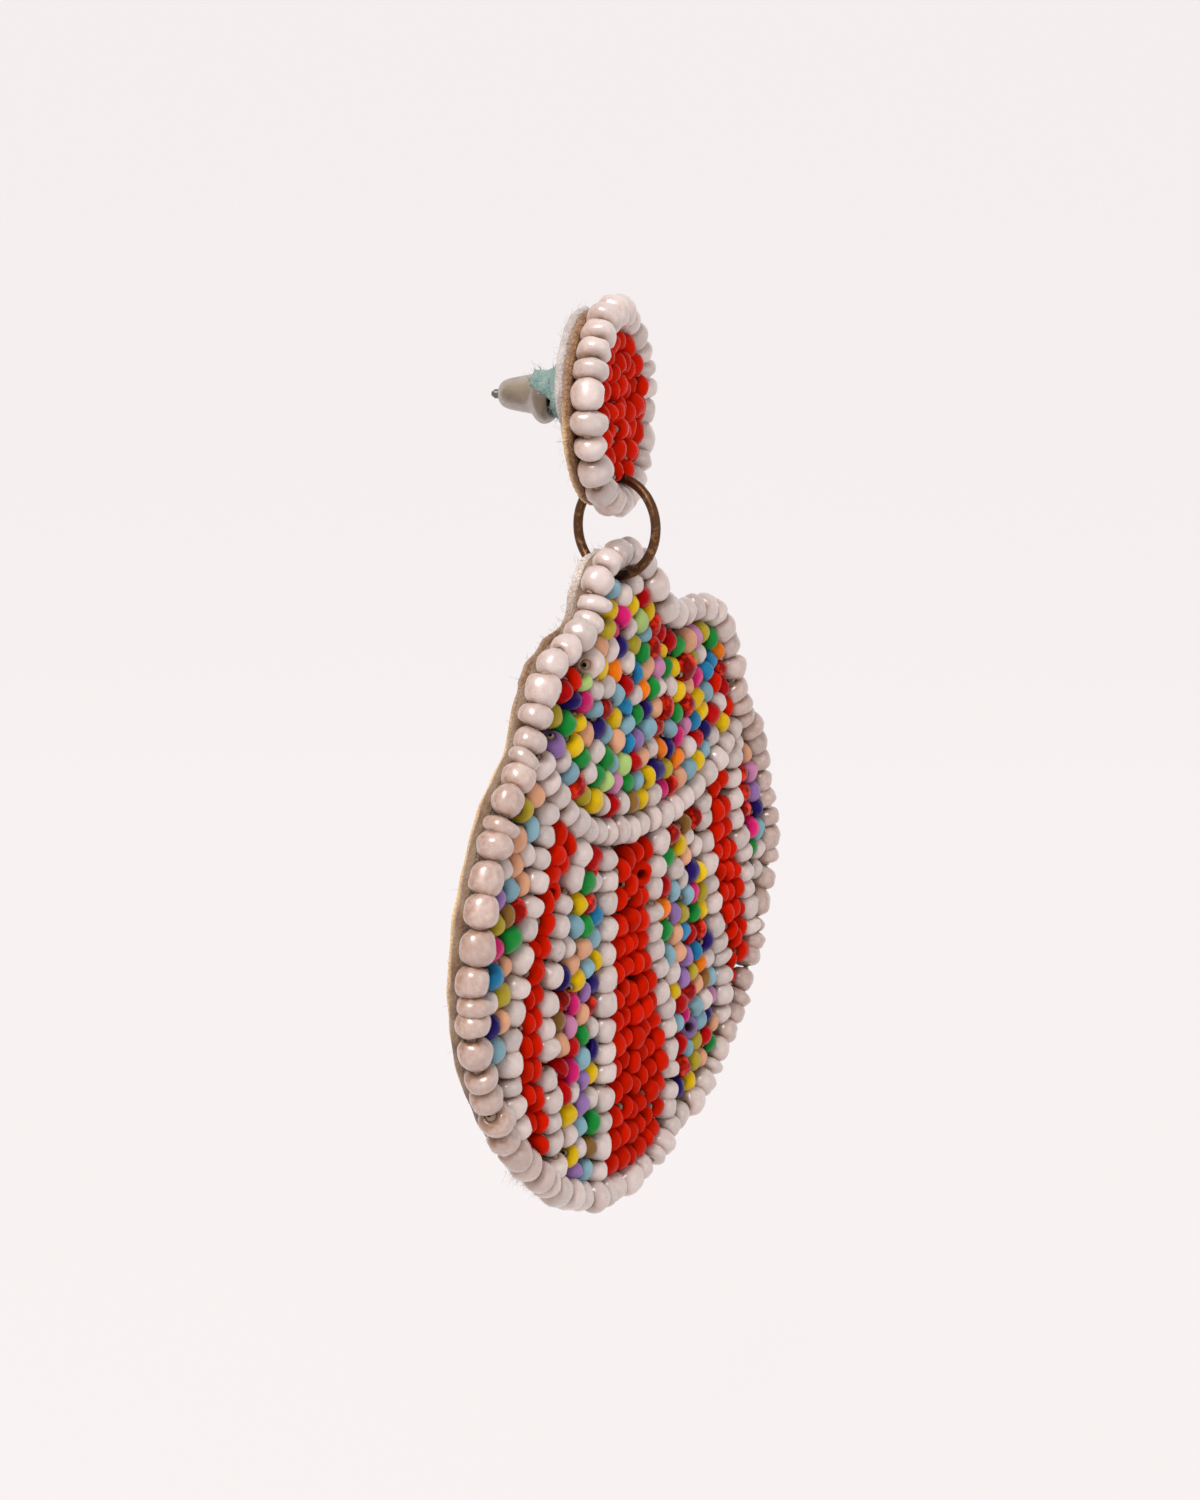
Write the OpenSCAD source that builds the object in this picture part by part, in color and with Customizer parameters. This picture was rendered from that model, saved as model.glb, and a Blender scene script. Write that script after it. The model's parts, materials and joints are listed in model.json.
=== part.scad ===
// Scallop-shell drop earring of bead embroidery on felt and leather, hanging from a round stud.
// X runs across the stud, Y from its face to the ear post, Z up. The origin is on the post,
// where the stud's back touches the ear lobe.

/* [Stud] */
// Radius of the circle that the stud's rim beads lie on
stud_rim_r = 8.4; // [8.2:0.1:9]
// Diameter of the stud's rim beads
stud_bead_d = 3.1; // [2.6:0.1:3.2]
// Thickness of the red bead fill in the stud's middle
stud_fill_t = 2.4; // [1.8:0.1:2.8]
// Thickness of the leather under the stud's beads
stud_leather_t = 1.1; // [1:0.1:1.3]
// Thickness of the white felt patch at its edge
patch_t = 0.9; // [0.8:0.1:1]
// How far the middle of the patch bulges towards the ear
patch_bulge = 0.45; // [0.3:0.05:0.6]
// Radius of the felt patch, which is centred on the post
patch_r = 7.7; // [6:0.1:7.7]
// Height of the post above the middle of the stud
post_rise = 1.15; // [0.9:0.05:1.2]

/* [Post and nut] */
// Diameter of the ear post
post_d = 0.84; // [0.7:0.02:1]
// Reach of the post behind the ear lobe's face
post_reach = 7.8; // [7.4:0.1:10]
// Radius of the teal felt collar where it meets the patch
collar_r = 3.3; // [2.6:0.1:4]
// Length of the collar along the post
collar_l = 1.7; // [1:0.1:1.7]
// Distance from the ear lobe's face to the near end of the nut
nut_start = 1.85; // [1.8:0.05:2]
// Length of the silicone nut
nut_l = 5.15; // [4.8:0.05:5.3]
// Radius of the nut's flared lip
nut_lip_r = 2.75; // [2.2:0.05:3]

/* [Jump ring] */
// Radius of the ring, to the middle of its wire
ring_r = 4.45; // [4.4:0.05:4.5]
// Diameter of the ring's wire
wire_d = 0.9; // [0.7:0.05:0.9]
// Turn of the ring about the vertical from the stud's front to back line, in degrees
ring_turn = 21; // [15:1:24]

/* [Shell drop] */
// Turn of the drop about the vertical, in degrees
drop_turn = 13; // [10:1:20]
// Diameter of the white beads along the drop's edge
edge_bead_d = 3; // [2.6:0.1:3]
// Diameter of the white beads that part the stripes
line_bead_d = 2.7; // [2.3:0.1:2.8]
// Thickness of the coloured bead fields
field_t = 2.3; // [1.6:0.1:2.4]
// Thickness of the felt that the beads are sewn to
felt_t = 0.95; // [0.8:0.05:1]
// Thickness of the leather backing
leather_t = 1; // [0.8:0.05:1.1]
// How far the felt and leather stop short of the middle of the edge beads, below the neck
base_inset = 0.8; // [0.4:0.1:1]
// Radius of the holes that the ring passes through
hole_r = 1.2; // [1.15:0.05:1.2]

/* [Hidden] */

// Small gap between pieces that lie on each other
gap = 0.05;
// Gap beside the tubes that stand for strings of beads
side_gap = 0.1;
round_fn = 64;
tube_sides = 10;
line_sides = 8;
// Steps along such a tube, and along each span of its curve before its ends are trimmed
line_steps = 20;
trim_steps = 20;

// Middle of the edge beads, [x, z] from the ring's hole, clockwise from the top of the neck
EDGE = [
    [0.2, 1.8], [3.3, 0.5], [5.5, -2.2], [8.6, -4.9], [12.2, -5.1], [16.2, -5.1],
    [19.2, -7.2], [21.1, -10.2], [22.2, -13.6], [23.9, -16.6], [27, -19.8], [29.2, -24.6],
    [30.4, -29.1], [30.8, -33.6], [29.2, -37.2], [27.6, -41.9], [25, -45.7], [22.2, -49.2],
    [17.7, -52.6], [13.9, -55], [9, -55.5], [5.4, -57.6], [1.2, -59.1], [-4.8, -58.8],
    [-10.8, -56.7], [-16.1, -52.8], [-20.2, -48.9], [-23.4, -44.2], [-25.6, -39], [-26, -33.2],
    [-25, -27.6], [-23, -22.2], [-20.4, -17.8], [-16.9, -14.2], [-15, -10.2], [-12.7, -7],
    [-9.4, -5.8], [-6.5, -4], [-5.2, -1], [-2.9, 1.1]
];
// Middle of the white arc under the top panel, [x, z] from left to right
ARC = [
    [-15.4, -14.9], [-11.4, -20], [-7.4, -22.6], [-2.2, -24.1], [3.2, -24.4], [8.4, -24.1],
    [13.4, -23], [17.8, -21], [23.6, -17.2]
];
// Middle of each white line between the stripes, [x, z] from the arc down to the edge
LINES = [
    [[-13.4, -17.5], [-16.4, -26.3], [-19.2, -33.8], [-20.6, -41.3], [-19, -48.8]],
    [[-7.2, -22.8], [-12.2, -30.2], [-14.4, -38], [-14.4, -44.3], [-12.4, -54.8]],
    [[-3.6, -24], [-3.8, -33.8], [-4.4, -41.3], [-4.3, -48.8], [-5.9, -58.8]],
    [[6.6, -24.3], [5, -33.6], [6.7, -41.3], [8.7, -48.8], [7.8, -57.6]],
    [[15.2, -22.4], [16.6, -30.8], [18.1, -36.8], [19.9, -42.6], [20.5, -51.3]],
    [[21.4, -18.8], [22.6, -26.6], [24.7, -31.8], [26, -36.3], [26.9, -43.8]]
];

// Depths along Y on the stud
patch_back = -patch_bulge;
patch_front = patch_back - patch_t;
stud_leather_back = patch_front - gap;
stud_leather_front = stud_leather_back - stud_leather_t;
stud_bead_y = stud_leather_front - gap - stud_bead_d / 2;
stud_leather_r = stud_rim_r + 0.5;
stud_fill_r = stud_rim_r - stud_bead_d / 2 - side_gap;
// Pad that holds the post between the leather and the patch
pad_r = 2.5;
pad_t = 0.3;
// Opening in the fill's lower edge, under the ring's hole
notch_l = 4;
notch_w = 2 * hole_r - 0.2;
post_r = post_d / 2;
post_slack = 0.04;
groove_start = nut_start + nut_l - 0.5;
groove_l = 0.4;
groove_depth = 0.1;
tip_l = 0.3;

// Middle of the ring, a little in front of the stud's beads
ring_x = -0.35;
ring_y = stud_bead_y - 0.1;
ring_z = -11.85;
wire_r = wire_d / 2;

// Depths along Y on the drop, whose own origin is the middle of its hole
base_half = (felt_t + gap + leather_t) / 2;
felt_front = -base_half;
edge_bead_y = felt_front - gap - edge_bead_d / 2;
line_bead_y = felt_front - gap - line_bead_d / 2;
// The edge beads lie this far in front of the ring's middle
drop_lead = 0.9;
drop_back = -edge_bead_y - drop_lead;
panel_hole_r = hole_r + 0.2;
// The felt and leather reach the middle of the edge beads above this height, and are inset below
neck_low = -6;

// Half the height of the ring's loop at a depth d behind its middle
function ring_rise(d) = sqrt(ring_r * ring_r - pow(d / cos(ring_turn), 2));
// Sideways place of the ring at a depth d behind its middle
function ring_side(d) = ring_x + d * tan(ring_turn);
// Height above the ring's middle of a hole that runs from depth a to depth b
function hole_rise(a, b) = (ring_rise(a) + ring_rise(b)) / 2;
drop_hole_rise = hole_rise(drop_back - base_half, drop_back + base_half);

function unit(v) = v / norm(v);
// Normal to the right of a direction, which points into the shell along its edge
function right_of(t) = [t.y, -t.x];
function blend(p0, p1, p2, p3, t) =
    p1 + 0.5 * t * (p2 - p0 + t * (2 * p0 - 5 * p1 + 4 * p2 - p3 + t * (3 * p1 - p0 - 3 * p2 + p3)));
function closed_curve(p, n) = [
    for (i = [0:len(p) - 1], j = [0:n - 1])
        blend(p[(i + len(p) - 1) % len(p)], p[i], p[(i + 1) % len(p)], p[(i + 2) % len(p)], j / n)
];
function before(p) = 2 * p[0] - p[1];
function after(p) = 2 * p[len(p) - 1] - p[len(p) - 2];
function open_curve(p, n) = [
    for (i = [0:len(p) - 2], j = [0:n - 1])
        blend(i == 0 ? before(p) : p[i - 1], p[i], p[i + 1], i + 2 < len(p) ? p[i + 2] : after(p), j / n),
    p[len(p) - 1]
];
function closed_normals(c) = [
    for (i = [0:len(c) - 1]) right_of(unit(c[(i + 1) % len(c)] - c[(i + len(c) - 1) % len(c)]))
];
function open_normals(c) = [
    for (i = [0:len(c) - 1]) right_of(unit(c[min(i + 1, len(c) - 1)] - c[max(i - 1, 0)]))
];
function shifted(c, normals, d) = [for (i = [0:len(c) - 1]) c[i] + d * normals[i]];
function reversed(c) = [for (i = [len(c) - 1:-1:0]) c[i]];
// A curve with a straight stretch of length d added at both ends
function stretched(c, d) = concat(
    [c[0] + d * unit(c[0] - c[1])], c, [c[len(c) - 1] + d * unit(c[len(c) - 1] - c[len(c) - 2])]
);
function clearance(p, curve) = min([for (q = curve) norm(p - q)]);
// The points of a curve where a tube of radius r round it stays further than d from another curve
function kept_clear(c, r, curve, d) =
    let (n = open_normals(c))
    [
        for (i = [0:len(c) - 1])
            if (min([for (k = [-1, 0, 1]) clearance(c[i] + k * r * n[i], curve)]) > d) c[i]
    ];
// A curve with only the given number of steps left
function thinned(c, steps) = [for (i = [0:steps]) c[round(i * (len(c) - 1) / steps)]];

edge = closed_curve(EDGE, 2);
edge_fine = closed_curve(EDGE, 3);
arc = open_curve(ARC, 3);
arc_fine = open_curve(ARC, 8);
lines = [for (p = LINES) open_curve(p, 6)];
edge_normals = closed_normals(edge_fine);
edge_clear = edge_bead_d / 2 + side_gap;
line_clear = line_bead_d / 2 + side_gap;
// Further out than any point of the shell
far = 50;
// Stretch added at the ends of the curves that cut the bead fields apart
reach = 4;
arc_long = stretched(arc, reach);
arc_long_normals = open_normals(arc_long);
// Boundaries of the stripes, from a far left one, along the six white lines, to a far right one
BOUNDS = concat(
    [[[-far, 0], [-far, -2 * far]]], [for (c = lines) stretched(c, reach)], [[[far, 0], [far, -2 * far]]]
);

// Stands on the plane y = back and reaches t towards the front
module slab(back, t) {
    translate([0, back, 0]) rotate([90, 0, 0]) linear_extrude(t) children();
}

// Turns a shape of revolution about Z so that it points along Y, its base at y = 0
module along_y() {
    rotate([-90, 0, 0]) children();
}

module drill(x, z, r) {
    translate([x, far, z]) rotate([90, 0, 0]) cylinder(h = 2 * far, r = r, $fn = round_fn);
}

// A tube round a curve in the plane of the shell, as one skin
module tube(c, normals, y, r, sides, closed) {
    count = len(c);
    points = [
        for (i = [0:count - 1], k = [0:sides - 1])
            let (a = 360 * k / sides, n = normals[i])
            [c[i].x + r * cos(a) * n.x, y + r * sin(a), c[i].y + r * cos(a) * n.y]
    ];
    skin = [
        for (i = [0:closed ? count - 1 : count - 2], k = [0:sides - 1])
            let (j = (i + 1) % count, m = (k + 1) % sides)
            [i * sides + k, j * sides + k, j * sides + m, i * sides + m]
    ];
    start_cap = [for (k = [0:sides - 1]) k];
    end_cap = [for (k = [sides - 1:-1:0]) (count - 1) * sides + k];
    polyhedron(points, closed ? skin : concat(skin, [start_cap, end_cap]), convexity = 10);
}

module ear_post() {
    color("silver") difference() {
        union() {
            translate([0, patch_front + pad_t, 0]) along_y()
                cylinder(h = post_reach - tip_l - patch_front - pad_t, r = post_r, $fn = round_fn);
            translate([0, post_reach - tip_l, 0]) along_y()
                cylinder(h = tip_l, r1 = post_r, r2 = post_r / 2, $fn = round_fn);
            translate([0, patch_front, 0]) along_y() cylinder(h = pad_t, r = pad_r, $fn = round_fn);
        }
        translate([0, groove_start, 0]) along_y() difference() {
            cylinder(h = groove_l, r = post_r + 1, $fn = round_fn);
            cylinder(h = groove_l, r = post_r - groove_depth, $fn = round_fn);
        }
    }
}

module felt_patch() {
    color("whitesmoke") difference() {
        translate([0, patch_front, 0]) along_y() rotate_extrude($fn = round_fn) polygon(concat(
            [[0, 0], [patch_r, 0]],
            [for (a = [0:10:90]) [patch_r * cos(a), patch_t + patch_bulge * sin(a)]]
        ));
        translate([0, patch_front - gap, 0]) along_y()
            cylinder(h = pad_t + 2 * gap, r = pad_r + gap, $fn = round_fn);
        drill(0, 0, post_r + post_slack);
    }
}

module teal_collar() {
    color("cadetblue") difference() {
        translate([0, gap, 0]) along_y() rotate_extrude($fn = round_fn) polygon([
            [0, 0], [collar_r, 0], [collar_r - 0.2, 0.25], [collar_r * 0.75, 0.6],
            [collar_r * 0.67, collar_l - 0.2], [collar_r * 0.6, collar_l], [0, collar_l]
        ]);
        drill(0, 0, post_r + post_slack);
    }
}

module stud_leather() {
    a = stud_leather_front - ring_y;
    b = stud_leather_back - ring_y;
    color("tan") difference() {
        translate([0, stud_leather_front, -post_rise]) along_y()
            cylinder(h = stud_leather_t, r = stud_leather_r, $fn = round_fn);
        drill(ring_side((a + b) / 2), ring_z + hole_rise(a, b), hole_r);
    }
}

module stud_rim() {
    color("linen") translate([0, stud_bead_y, -post_rise]) along_y()
        rotate_extrude($fn = round_fn) translate([stud_rim_r, 0]) circle(d = stud_bead_d, $fn = 32);
}

module stud_fill() {
    b = stud_leather_front - gap - ring_y;
    a = b - stud_fill_t;
    x = ring_side((a + b) / 2);
    z = ring_z + hole_rise(a, b);
    color("orangered") difference() {
        translate([0, stud_leather_front - gap - stud_fill_t, -post_rise]) along_y()
            cylinder(h = stud_fill_t, r = stud_fill_r, $fn = round_fn);
        drill(x, z, hole_r);
        translate([x - notch_w / 2, -far, z - notch_l]) cube([notch_w, 2 * far, notch_l]);
    }
}

module ear_nut() {
    color("darkgray") translate([0, nut_start, 0]) difference() {
        along_y() rotate_extrude($fn = round_fn) polygon([
            [0, 0], [1.3, 0], [1.65, 0.25], [2.3, 0.75], [nut_lip_r - 0.1, 1.2], [nut_lip_r, 1.5],
            [nut_lip_r - 0.25, 1.8], [2.05, 2.1], [1.8, 2.5], [1.7, 3], [1.5, nut_l - 1.1],
            [1.3, nut_l - 0.5], [1, nut_l - 0.12], [0.7, nut_l], [0, nut_l]
        ]);
        drill(0, 0, post_r + post_slack);
    }
}

module jump_ring() {
    color("saddlebrown") translate([ring_x, ring_y, ring_z]) rotate([0, 0, -ring_turn])
        rotate([0, 90, 0]) rotate_extrude($fn = 96) translate([ring_r, 0]) circle(r = wire_r, $fn = 24);
}

// Carries the drop's pieces from their own frame, with the hole at its origin, to their place
module on_drop() {
    translate([ring_side(drop_back), ring_y + drop_back, ring_z - drop_hole_rise])
        rotate([0, 0, -drop_turn]) children();
}

module base_outline() {
    polygon([
        for (i = [0:len(edge_fine) - 1])
            edge_fine[i] + base_inset * min(max(edge_fine[i].y / neck_low, 0), 1) * edge_normals[i]
    ]);
}

module drop_leather() {
    color("peru") on_drop() difference() {
        slab(base_half, leather_t) base_outline();
        drill(0, 0, hole_r);
    }
}

module drop_felt() {
    color("antiquewhite") on_drop() difference() {
        slab(felt_front + felt_t, felt_t) base_outline();
        drill(0, 0, hole_r);
    }
}

module drop_rim() {
    color("linen") on_drop()
        tube(edge, closed_normals(edge), edge_bead_y, edge_bead_d / 2, tube_sides, true);
}

// A tube for a string of beads that ends short of the edge beads
module string_tube(c) {
    short = thinned(kept_clear(c, line_bead_d / 2, edge_fine, edge_clear), line_steps);
    color("linen") on_drop()
        tube(short, open_normals(short), line_bead_y, line_bead_d / 2, line_sides, false);
}

module panel_arc() {
    string_tube(open_curve(ARC, trim_steps));
}

// The white line of the given number, which ends short of the arc too
module white_line(i) {
    string_tube(kept_clear(open_curve(LINES[i], trim_steps), line_bead_d / 2, arc_fine, line_clear));
}

// The shell inside its edge beads
module inside_edge() {
    polygon(shifted(edge_fine, edge_normals, edge_clear));
}

// Everything above the arc's curve when that is moved down by d
module above_arc(d) {
    curve = shifted(arc_long, arc_long_normals, d);
    polygon(concat(curve, [[far, curve[len(curve) - 1].y], [far, far], [-far, far], [-far, curve[0].y]]));
}

module panel_field() {
    color("goldenrod") on_drop() difference() {
        slab(felt_front - gap, field_t) intersection() {
            inside_edge();
            above_arc(-line_clear);
        }
        drill(0, 0, panel_hole_r);
    }
}

// The band that the white line at a boundary takes up
module line_band(i) {
    c = BOUNDS[i];
    normals = open_normals(c);
    polygon(concat(shifted(c, normals, line_clear), reversed(shifted(c, normals, -line_clear))));
}

// The field of beads between two boundaries
module stripe(i) {
    on_drop() slab(felt_front - gap, field_t) difference() {
        intersection() {
            inside_edge();
            polygon(concat(BOUNDS[i], reversed(BOUNDS[i + 1])));
        }
        above_arc(line_clear);
        line_band(i);
        line_band(i + 1);
    }
}

module red_stripe(i) {
    color("orangered") stripe(i);
}

module mixed_stripe(i) {
    color("mediumseagreen") stripe(i);
}

ear_post();
felt_patch();
teal_collar();
stud_leather();
stud_rim();
stud_fill();
ear_nut();
jump_ring();
drop_leather();
drop_felt();
drop_rim();
panel_arc();
white_line(0);  // white_line_1
white_line(1);  // white_line_2
white_line(2);  // white_line_3
white_line(3);  // white_line_4
white_line(4);  // white_line_5
white_line(5);  // white_line_6
panel_field();
mixed_stripe(0);  // stripe_1
red_stripe(1);  // stripe_2
mixed_stripe(2);  // stripe_3
red_stripe(3);  // stripe_4
mixed_stripe(4);  // stripe_5
red_stripe(5);  // stripe_6
mixed_stripe(6);  // stripe_7
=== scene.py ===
"""Beaded shell earring: single seed beads on felt and leather take the place of the frame's tubes and
flat fields. Shapes are worked out in millimetres, in the drop's own frame (x across, y to the back,
z up, from the ring's hole) and in the stud's, which is the row's frame."""

import json
import math
from collections import namedtuple

import bpy
import numpy as np
from mathutils import Matrix, Vector
from mathutils.geometry import delaunay_2d_cdt


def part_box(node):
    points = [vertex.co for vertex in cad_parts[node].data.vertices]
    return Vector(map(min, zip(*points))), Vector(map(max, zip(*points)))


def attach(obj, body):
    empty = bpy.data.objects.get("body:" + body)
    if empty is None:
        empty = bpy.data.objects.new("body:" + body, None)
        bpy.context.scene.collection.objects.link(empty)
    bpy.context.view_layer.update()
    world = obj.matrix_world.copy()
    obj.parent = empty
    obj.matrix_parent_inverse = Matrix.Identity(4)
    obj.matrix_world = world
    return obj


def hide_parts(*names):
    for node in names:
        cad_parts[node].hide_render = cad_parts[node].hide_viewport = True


MM = 0.001
SEED = 20
rng = np.random.default_rng(SEED)

# The drop, as in the frame: outline of its edge beads, the arc and the white lines, as [x, z]
EDGE = [
    [0.2, 1.8], [3.3, 0.5], [5.5, -2.2], [8.6, -4.9], [12.2, -5.1], [16.2, -5.1],
    [19.2, -7.2], [21.1, -10.2], [22.2, -13.6], [23.9, -16.6], [27, -19.8], [29.2, -24.6],
    [30.4, -29.1], [30.8, -33.6], [29.2, -37.2], [27.6, -41.9], [25, -45.7], [22.2, -49.2],
    [18.2, -52.9], [14.4, -55.4], [9.6, -56.2], [6.2, -58.1], [1.8, -59.3], [-4.8, -58.8],
    [-10.8, -56.7], [-16.1, -52.8], [-20.2, -48.9], [-23.4, -44.2], [-25.6, -39], [-26, -33.2],
    [-25, -27.6], [-23, -22.2], [-20.4, -17.8], [-16.9, -14.2], [-15, -10.2], [-12.7, -7],
    [-9.4, -5.8], [-6.5, -4], [-5.2, -1], [-2.9, 1.1],
]
ARC = [
    [-15.4, -14.9], [-11.4, -20], [-7.4, -22.6], [-2.2, -24.1], [3.2, -24.4], [8.4, -24.1],
    [13.4, -23], [17.8, -21], [23.6, -17.2],
]
LINES = [
    [[-13.4, -17.5], [-16.4, -26.3], [-19.2, -33.8], [-20.6, -41.3], [-19, -48.8]],
    [[-7.2, -22.8], [-12.2, -30.2], [-14.4, -38], [-14.4, -44.3], [-12.4, -54.8]],
    [[-3.6, -24], [-3.8, -33.8], [-4.4, -41.3], [-4.3, -48.8], [-5.9, -58.8]],
    [[6.6, -24.3], [5, -33.6], [6.7, -41.3], [8.7, -48.8], [7.8, -57.6]],
    [[15.2, -22.4], [16.6, -30.8], [18.1, -36.8], [19.9, -42.6], [20.5, -51.3]],
    [[21.4, -18.8], [22.6, -26.6], [24.7, -31.8], [26, -36.3], [26.9, -43.8]],
]
RED_STRIPES = (2, 4, 6)

# Depths and sizes in millimetres
FELT_FRONT = -1.0
LEATHER_FRONT = 0.0
LEATHER_BACK = 1.0
BASE_INSET = 0.8
NECK_LOW = -6
HOLE_R = 1.2
WIRE_R = 0.45

# Radii of the beads, and the mean lengths of those in fields
EDGE_R = 1.52
LINE_R = 1.38
FIELD_R = 1.18
RED_R = 1.22
STUD_R = 1.54
STUD_FILL_R = 1.12
FIELD_LENGTH = 1.95
RED_LENGTH = 1.75

# The photograph's camera, worked out from the ring, the stud and the shell's outline
IMAGE_H = 1500
FOCAL_PX = 2050
CAMERA_TURN = math.radians(16.9)
CAMERA_TILT = math.radians(11.1)
AIM_AT = (1.575, -2.55, 1.9)
AIM_DISTANCE, AIM_RIGHT, AIM_UP = 188.1, 3.09, 18.57

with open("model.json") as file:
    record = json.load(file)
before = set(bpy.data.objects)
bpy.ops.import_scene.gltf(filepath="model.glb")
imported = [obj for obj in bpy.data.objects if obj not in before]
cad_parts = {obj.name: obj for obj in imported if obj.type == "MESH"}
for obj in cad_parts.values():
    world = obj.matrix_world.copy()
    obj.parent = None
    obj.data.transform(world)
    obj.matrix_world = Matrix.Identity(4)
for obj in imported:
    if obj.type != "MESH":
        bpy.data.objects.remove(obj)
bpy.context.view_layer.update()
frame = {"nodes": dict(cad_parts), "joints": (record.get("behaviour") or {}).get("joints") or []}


def unit(v):
    v = np.asarray(v, float)
    return v / np.linalg.norm(v, axis=-1, keepdims=True)


class Place:
    """A frame of its own for a body's pieces: origin in millimetres and two level axes."""

    def __init__(self, body, origin, back):
        self.body = body
        self.origin = np.array(origin, float)
        back = unit(back)
        self.axes = np.array([[back[1], -back[0], 0], back, [0, 0, 1]])

    def points(self, p):
        """Points of this frame in the row's frame, in metres."""
        return (self.origin + np.asarray(p, float) @ self.axes) * MM


def joint(name):
    return next(j for j in frame["joints"] if j["name"] == name)


def box_of(node):
    """A node's lowest and highest corner, in millimetres."""
    return [np.array(v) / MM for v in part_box(node)]


drop_joint = joint("drop_sway")
ring_joint = joint("ring_swing")
DROP = Place("drop", np.array(drop_joint["pos_m"]) / MM, drop_joint["axis"])
STUD = Place("stud", (0, 0, 0), (0, 1, 0))
STUD_LEATHER_BACK = box_of("stud_leather")[1][1] - 0.2
low, high = box_of("stud_rim")
STUD_MIDDLE = (low + high) / 2
STUD_RIM_R = (high[0] - low[0] - (high[1] - low[1])) / 2


# Curves


def blend(p0, p1, p2, p3, t):
    return p1 + 0.5 * t * (p2 - p0 + t * (2 * p0 - 5 * p1 + 4 * p2 - p3 + t * (3 * p1 - p0 - 3 * p2 + p3)))


def stepped(four, steps):
    """Points of a curve through the second and third of four rows of points."""
    return np.stack([blend(*four, j / steps) for j in range(steps)], 1).reshape(-1, 2)


def closed_curve(points, steps=12):
    p = np.array(points, float)
    return stepped([np.roll(p, k, 0) for k in (1, 0, -1, -2)], steps)


def open_curve(points, steps=12):
    p = np.array(points, float)
    p = np.vstack([2 * p[0] - p[1], p, 2 * p[-1] - p[-2]])
    count = len(p) - 3
    return np.vstack([stepped([p[k : k + count] for k in range(4)], steps), p[-2:-1]])


def inward(curve):
    """Normals to the right of a closed curve's direction."""
    t = unit(np.roll(curve, -1, 0) - np.roll(curve, 1, 0))
    return np.stack([t[:, 1], -t[:, 0]], 1)


def path_lengths(curve):
    return np.concatenate([[0], np.cumsum(np.linalg.norm(np.diff(curve, axis=0), axis=1))])


def along(curve, at):
    """(points, directions) at the given distances along a curve."""
    s = path_lengths(curve)

    def near(step):
        return np.stack([np.interp(np.asarray(at, float) + step, s, row) for row in curve.T], -1)

    return near(0), unit(near(0.3) - near(-0.3))


def distance(points, curve):
    """Distance from each point to a curve, and the nearest point on it."""
    a, b = curve[:-1], curve[1:]
    ab = b - a
    t = ((points[:, None] - a) * ab).sum(-1) / (ab * ab).sum(-1)
    q = a + np.clip(t, 0, 1)[..., None] * ab
    d = np.linalg.norm(points[:, None] - q, axis=-1)
    best = d.argmin(1)
    rows = np.arange(len(points))
    return d[rows, best], q[rows, best]


def inside(points, polygon):
    x, z = points[:, 0, None], points[:, 1, None]
    x1, z1 = polygon[:, 0], polygon[:, 1]
    x2, z2 = np.roll(x1, -1), np.roll(z1, -1)
    crosses = (z1 > z) != (z2 > z)
    at = x1 + (z - z1) * (x2 - x1) / np.where(z2 == z1, 1, z2 - z1)
    return (crosses & (x < at)).sum(1) % 2 == 1


def around(count, closed=False):
    """Even angles over a full turn; closed ones end where they start."""
    return np.linspace(0, 2 * np.pi, count, endpoint=closed)


def circle(centre, radius, count, closed=False):
    a = around(count, closed)
    return np.array(centre) + radius * np.stack([np.cos(a), np.sin(a)], 1)


def grid_points(low, high, cell):
    """Points of an even grid between two corners."""
    sides = [np.arange(low[k], high[k], cell) for k in (0, 1)]
    return np.stack(np.meshgrid(*sides), -1).reshape(-1, 2)


def at_depth(flat, y):
    """Points given as x and z, set at one depth or each at its own."""
    return np.stack([flat[:, 0], np.zeros(len(flat)) + y, flat[:, 1]], 1)


def random_wave(shortest, longest):
    """Direction and rate of a wave with a length between two in millimetres."""
    return unit(rng.normal(size=3)) * 2 * np.pi / rng.uniform(shortest, longest)


edge = closed_curve(EDGE)
edge_loop = np.vstack([edge, edge[:1]])
arc = open_curve(ARC)
lines = [open_curve(p) for p in LINES]


def arc_height(x):
    return np.interp(x, *arc.T)


# Materials


def srgb(r, g, b):
    """A colour as read off a screen, 0 to 255, as the linear one that shaders use."""
    return [((c / 255 + 0.055) / 1.055) ** 2.4 if c > 10 else c / 255 / 12.92 for c in (r, g, b)] + [1]


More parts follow.
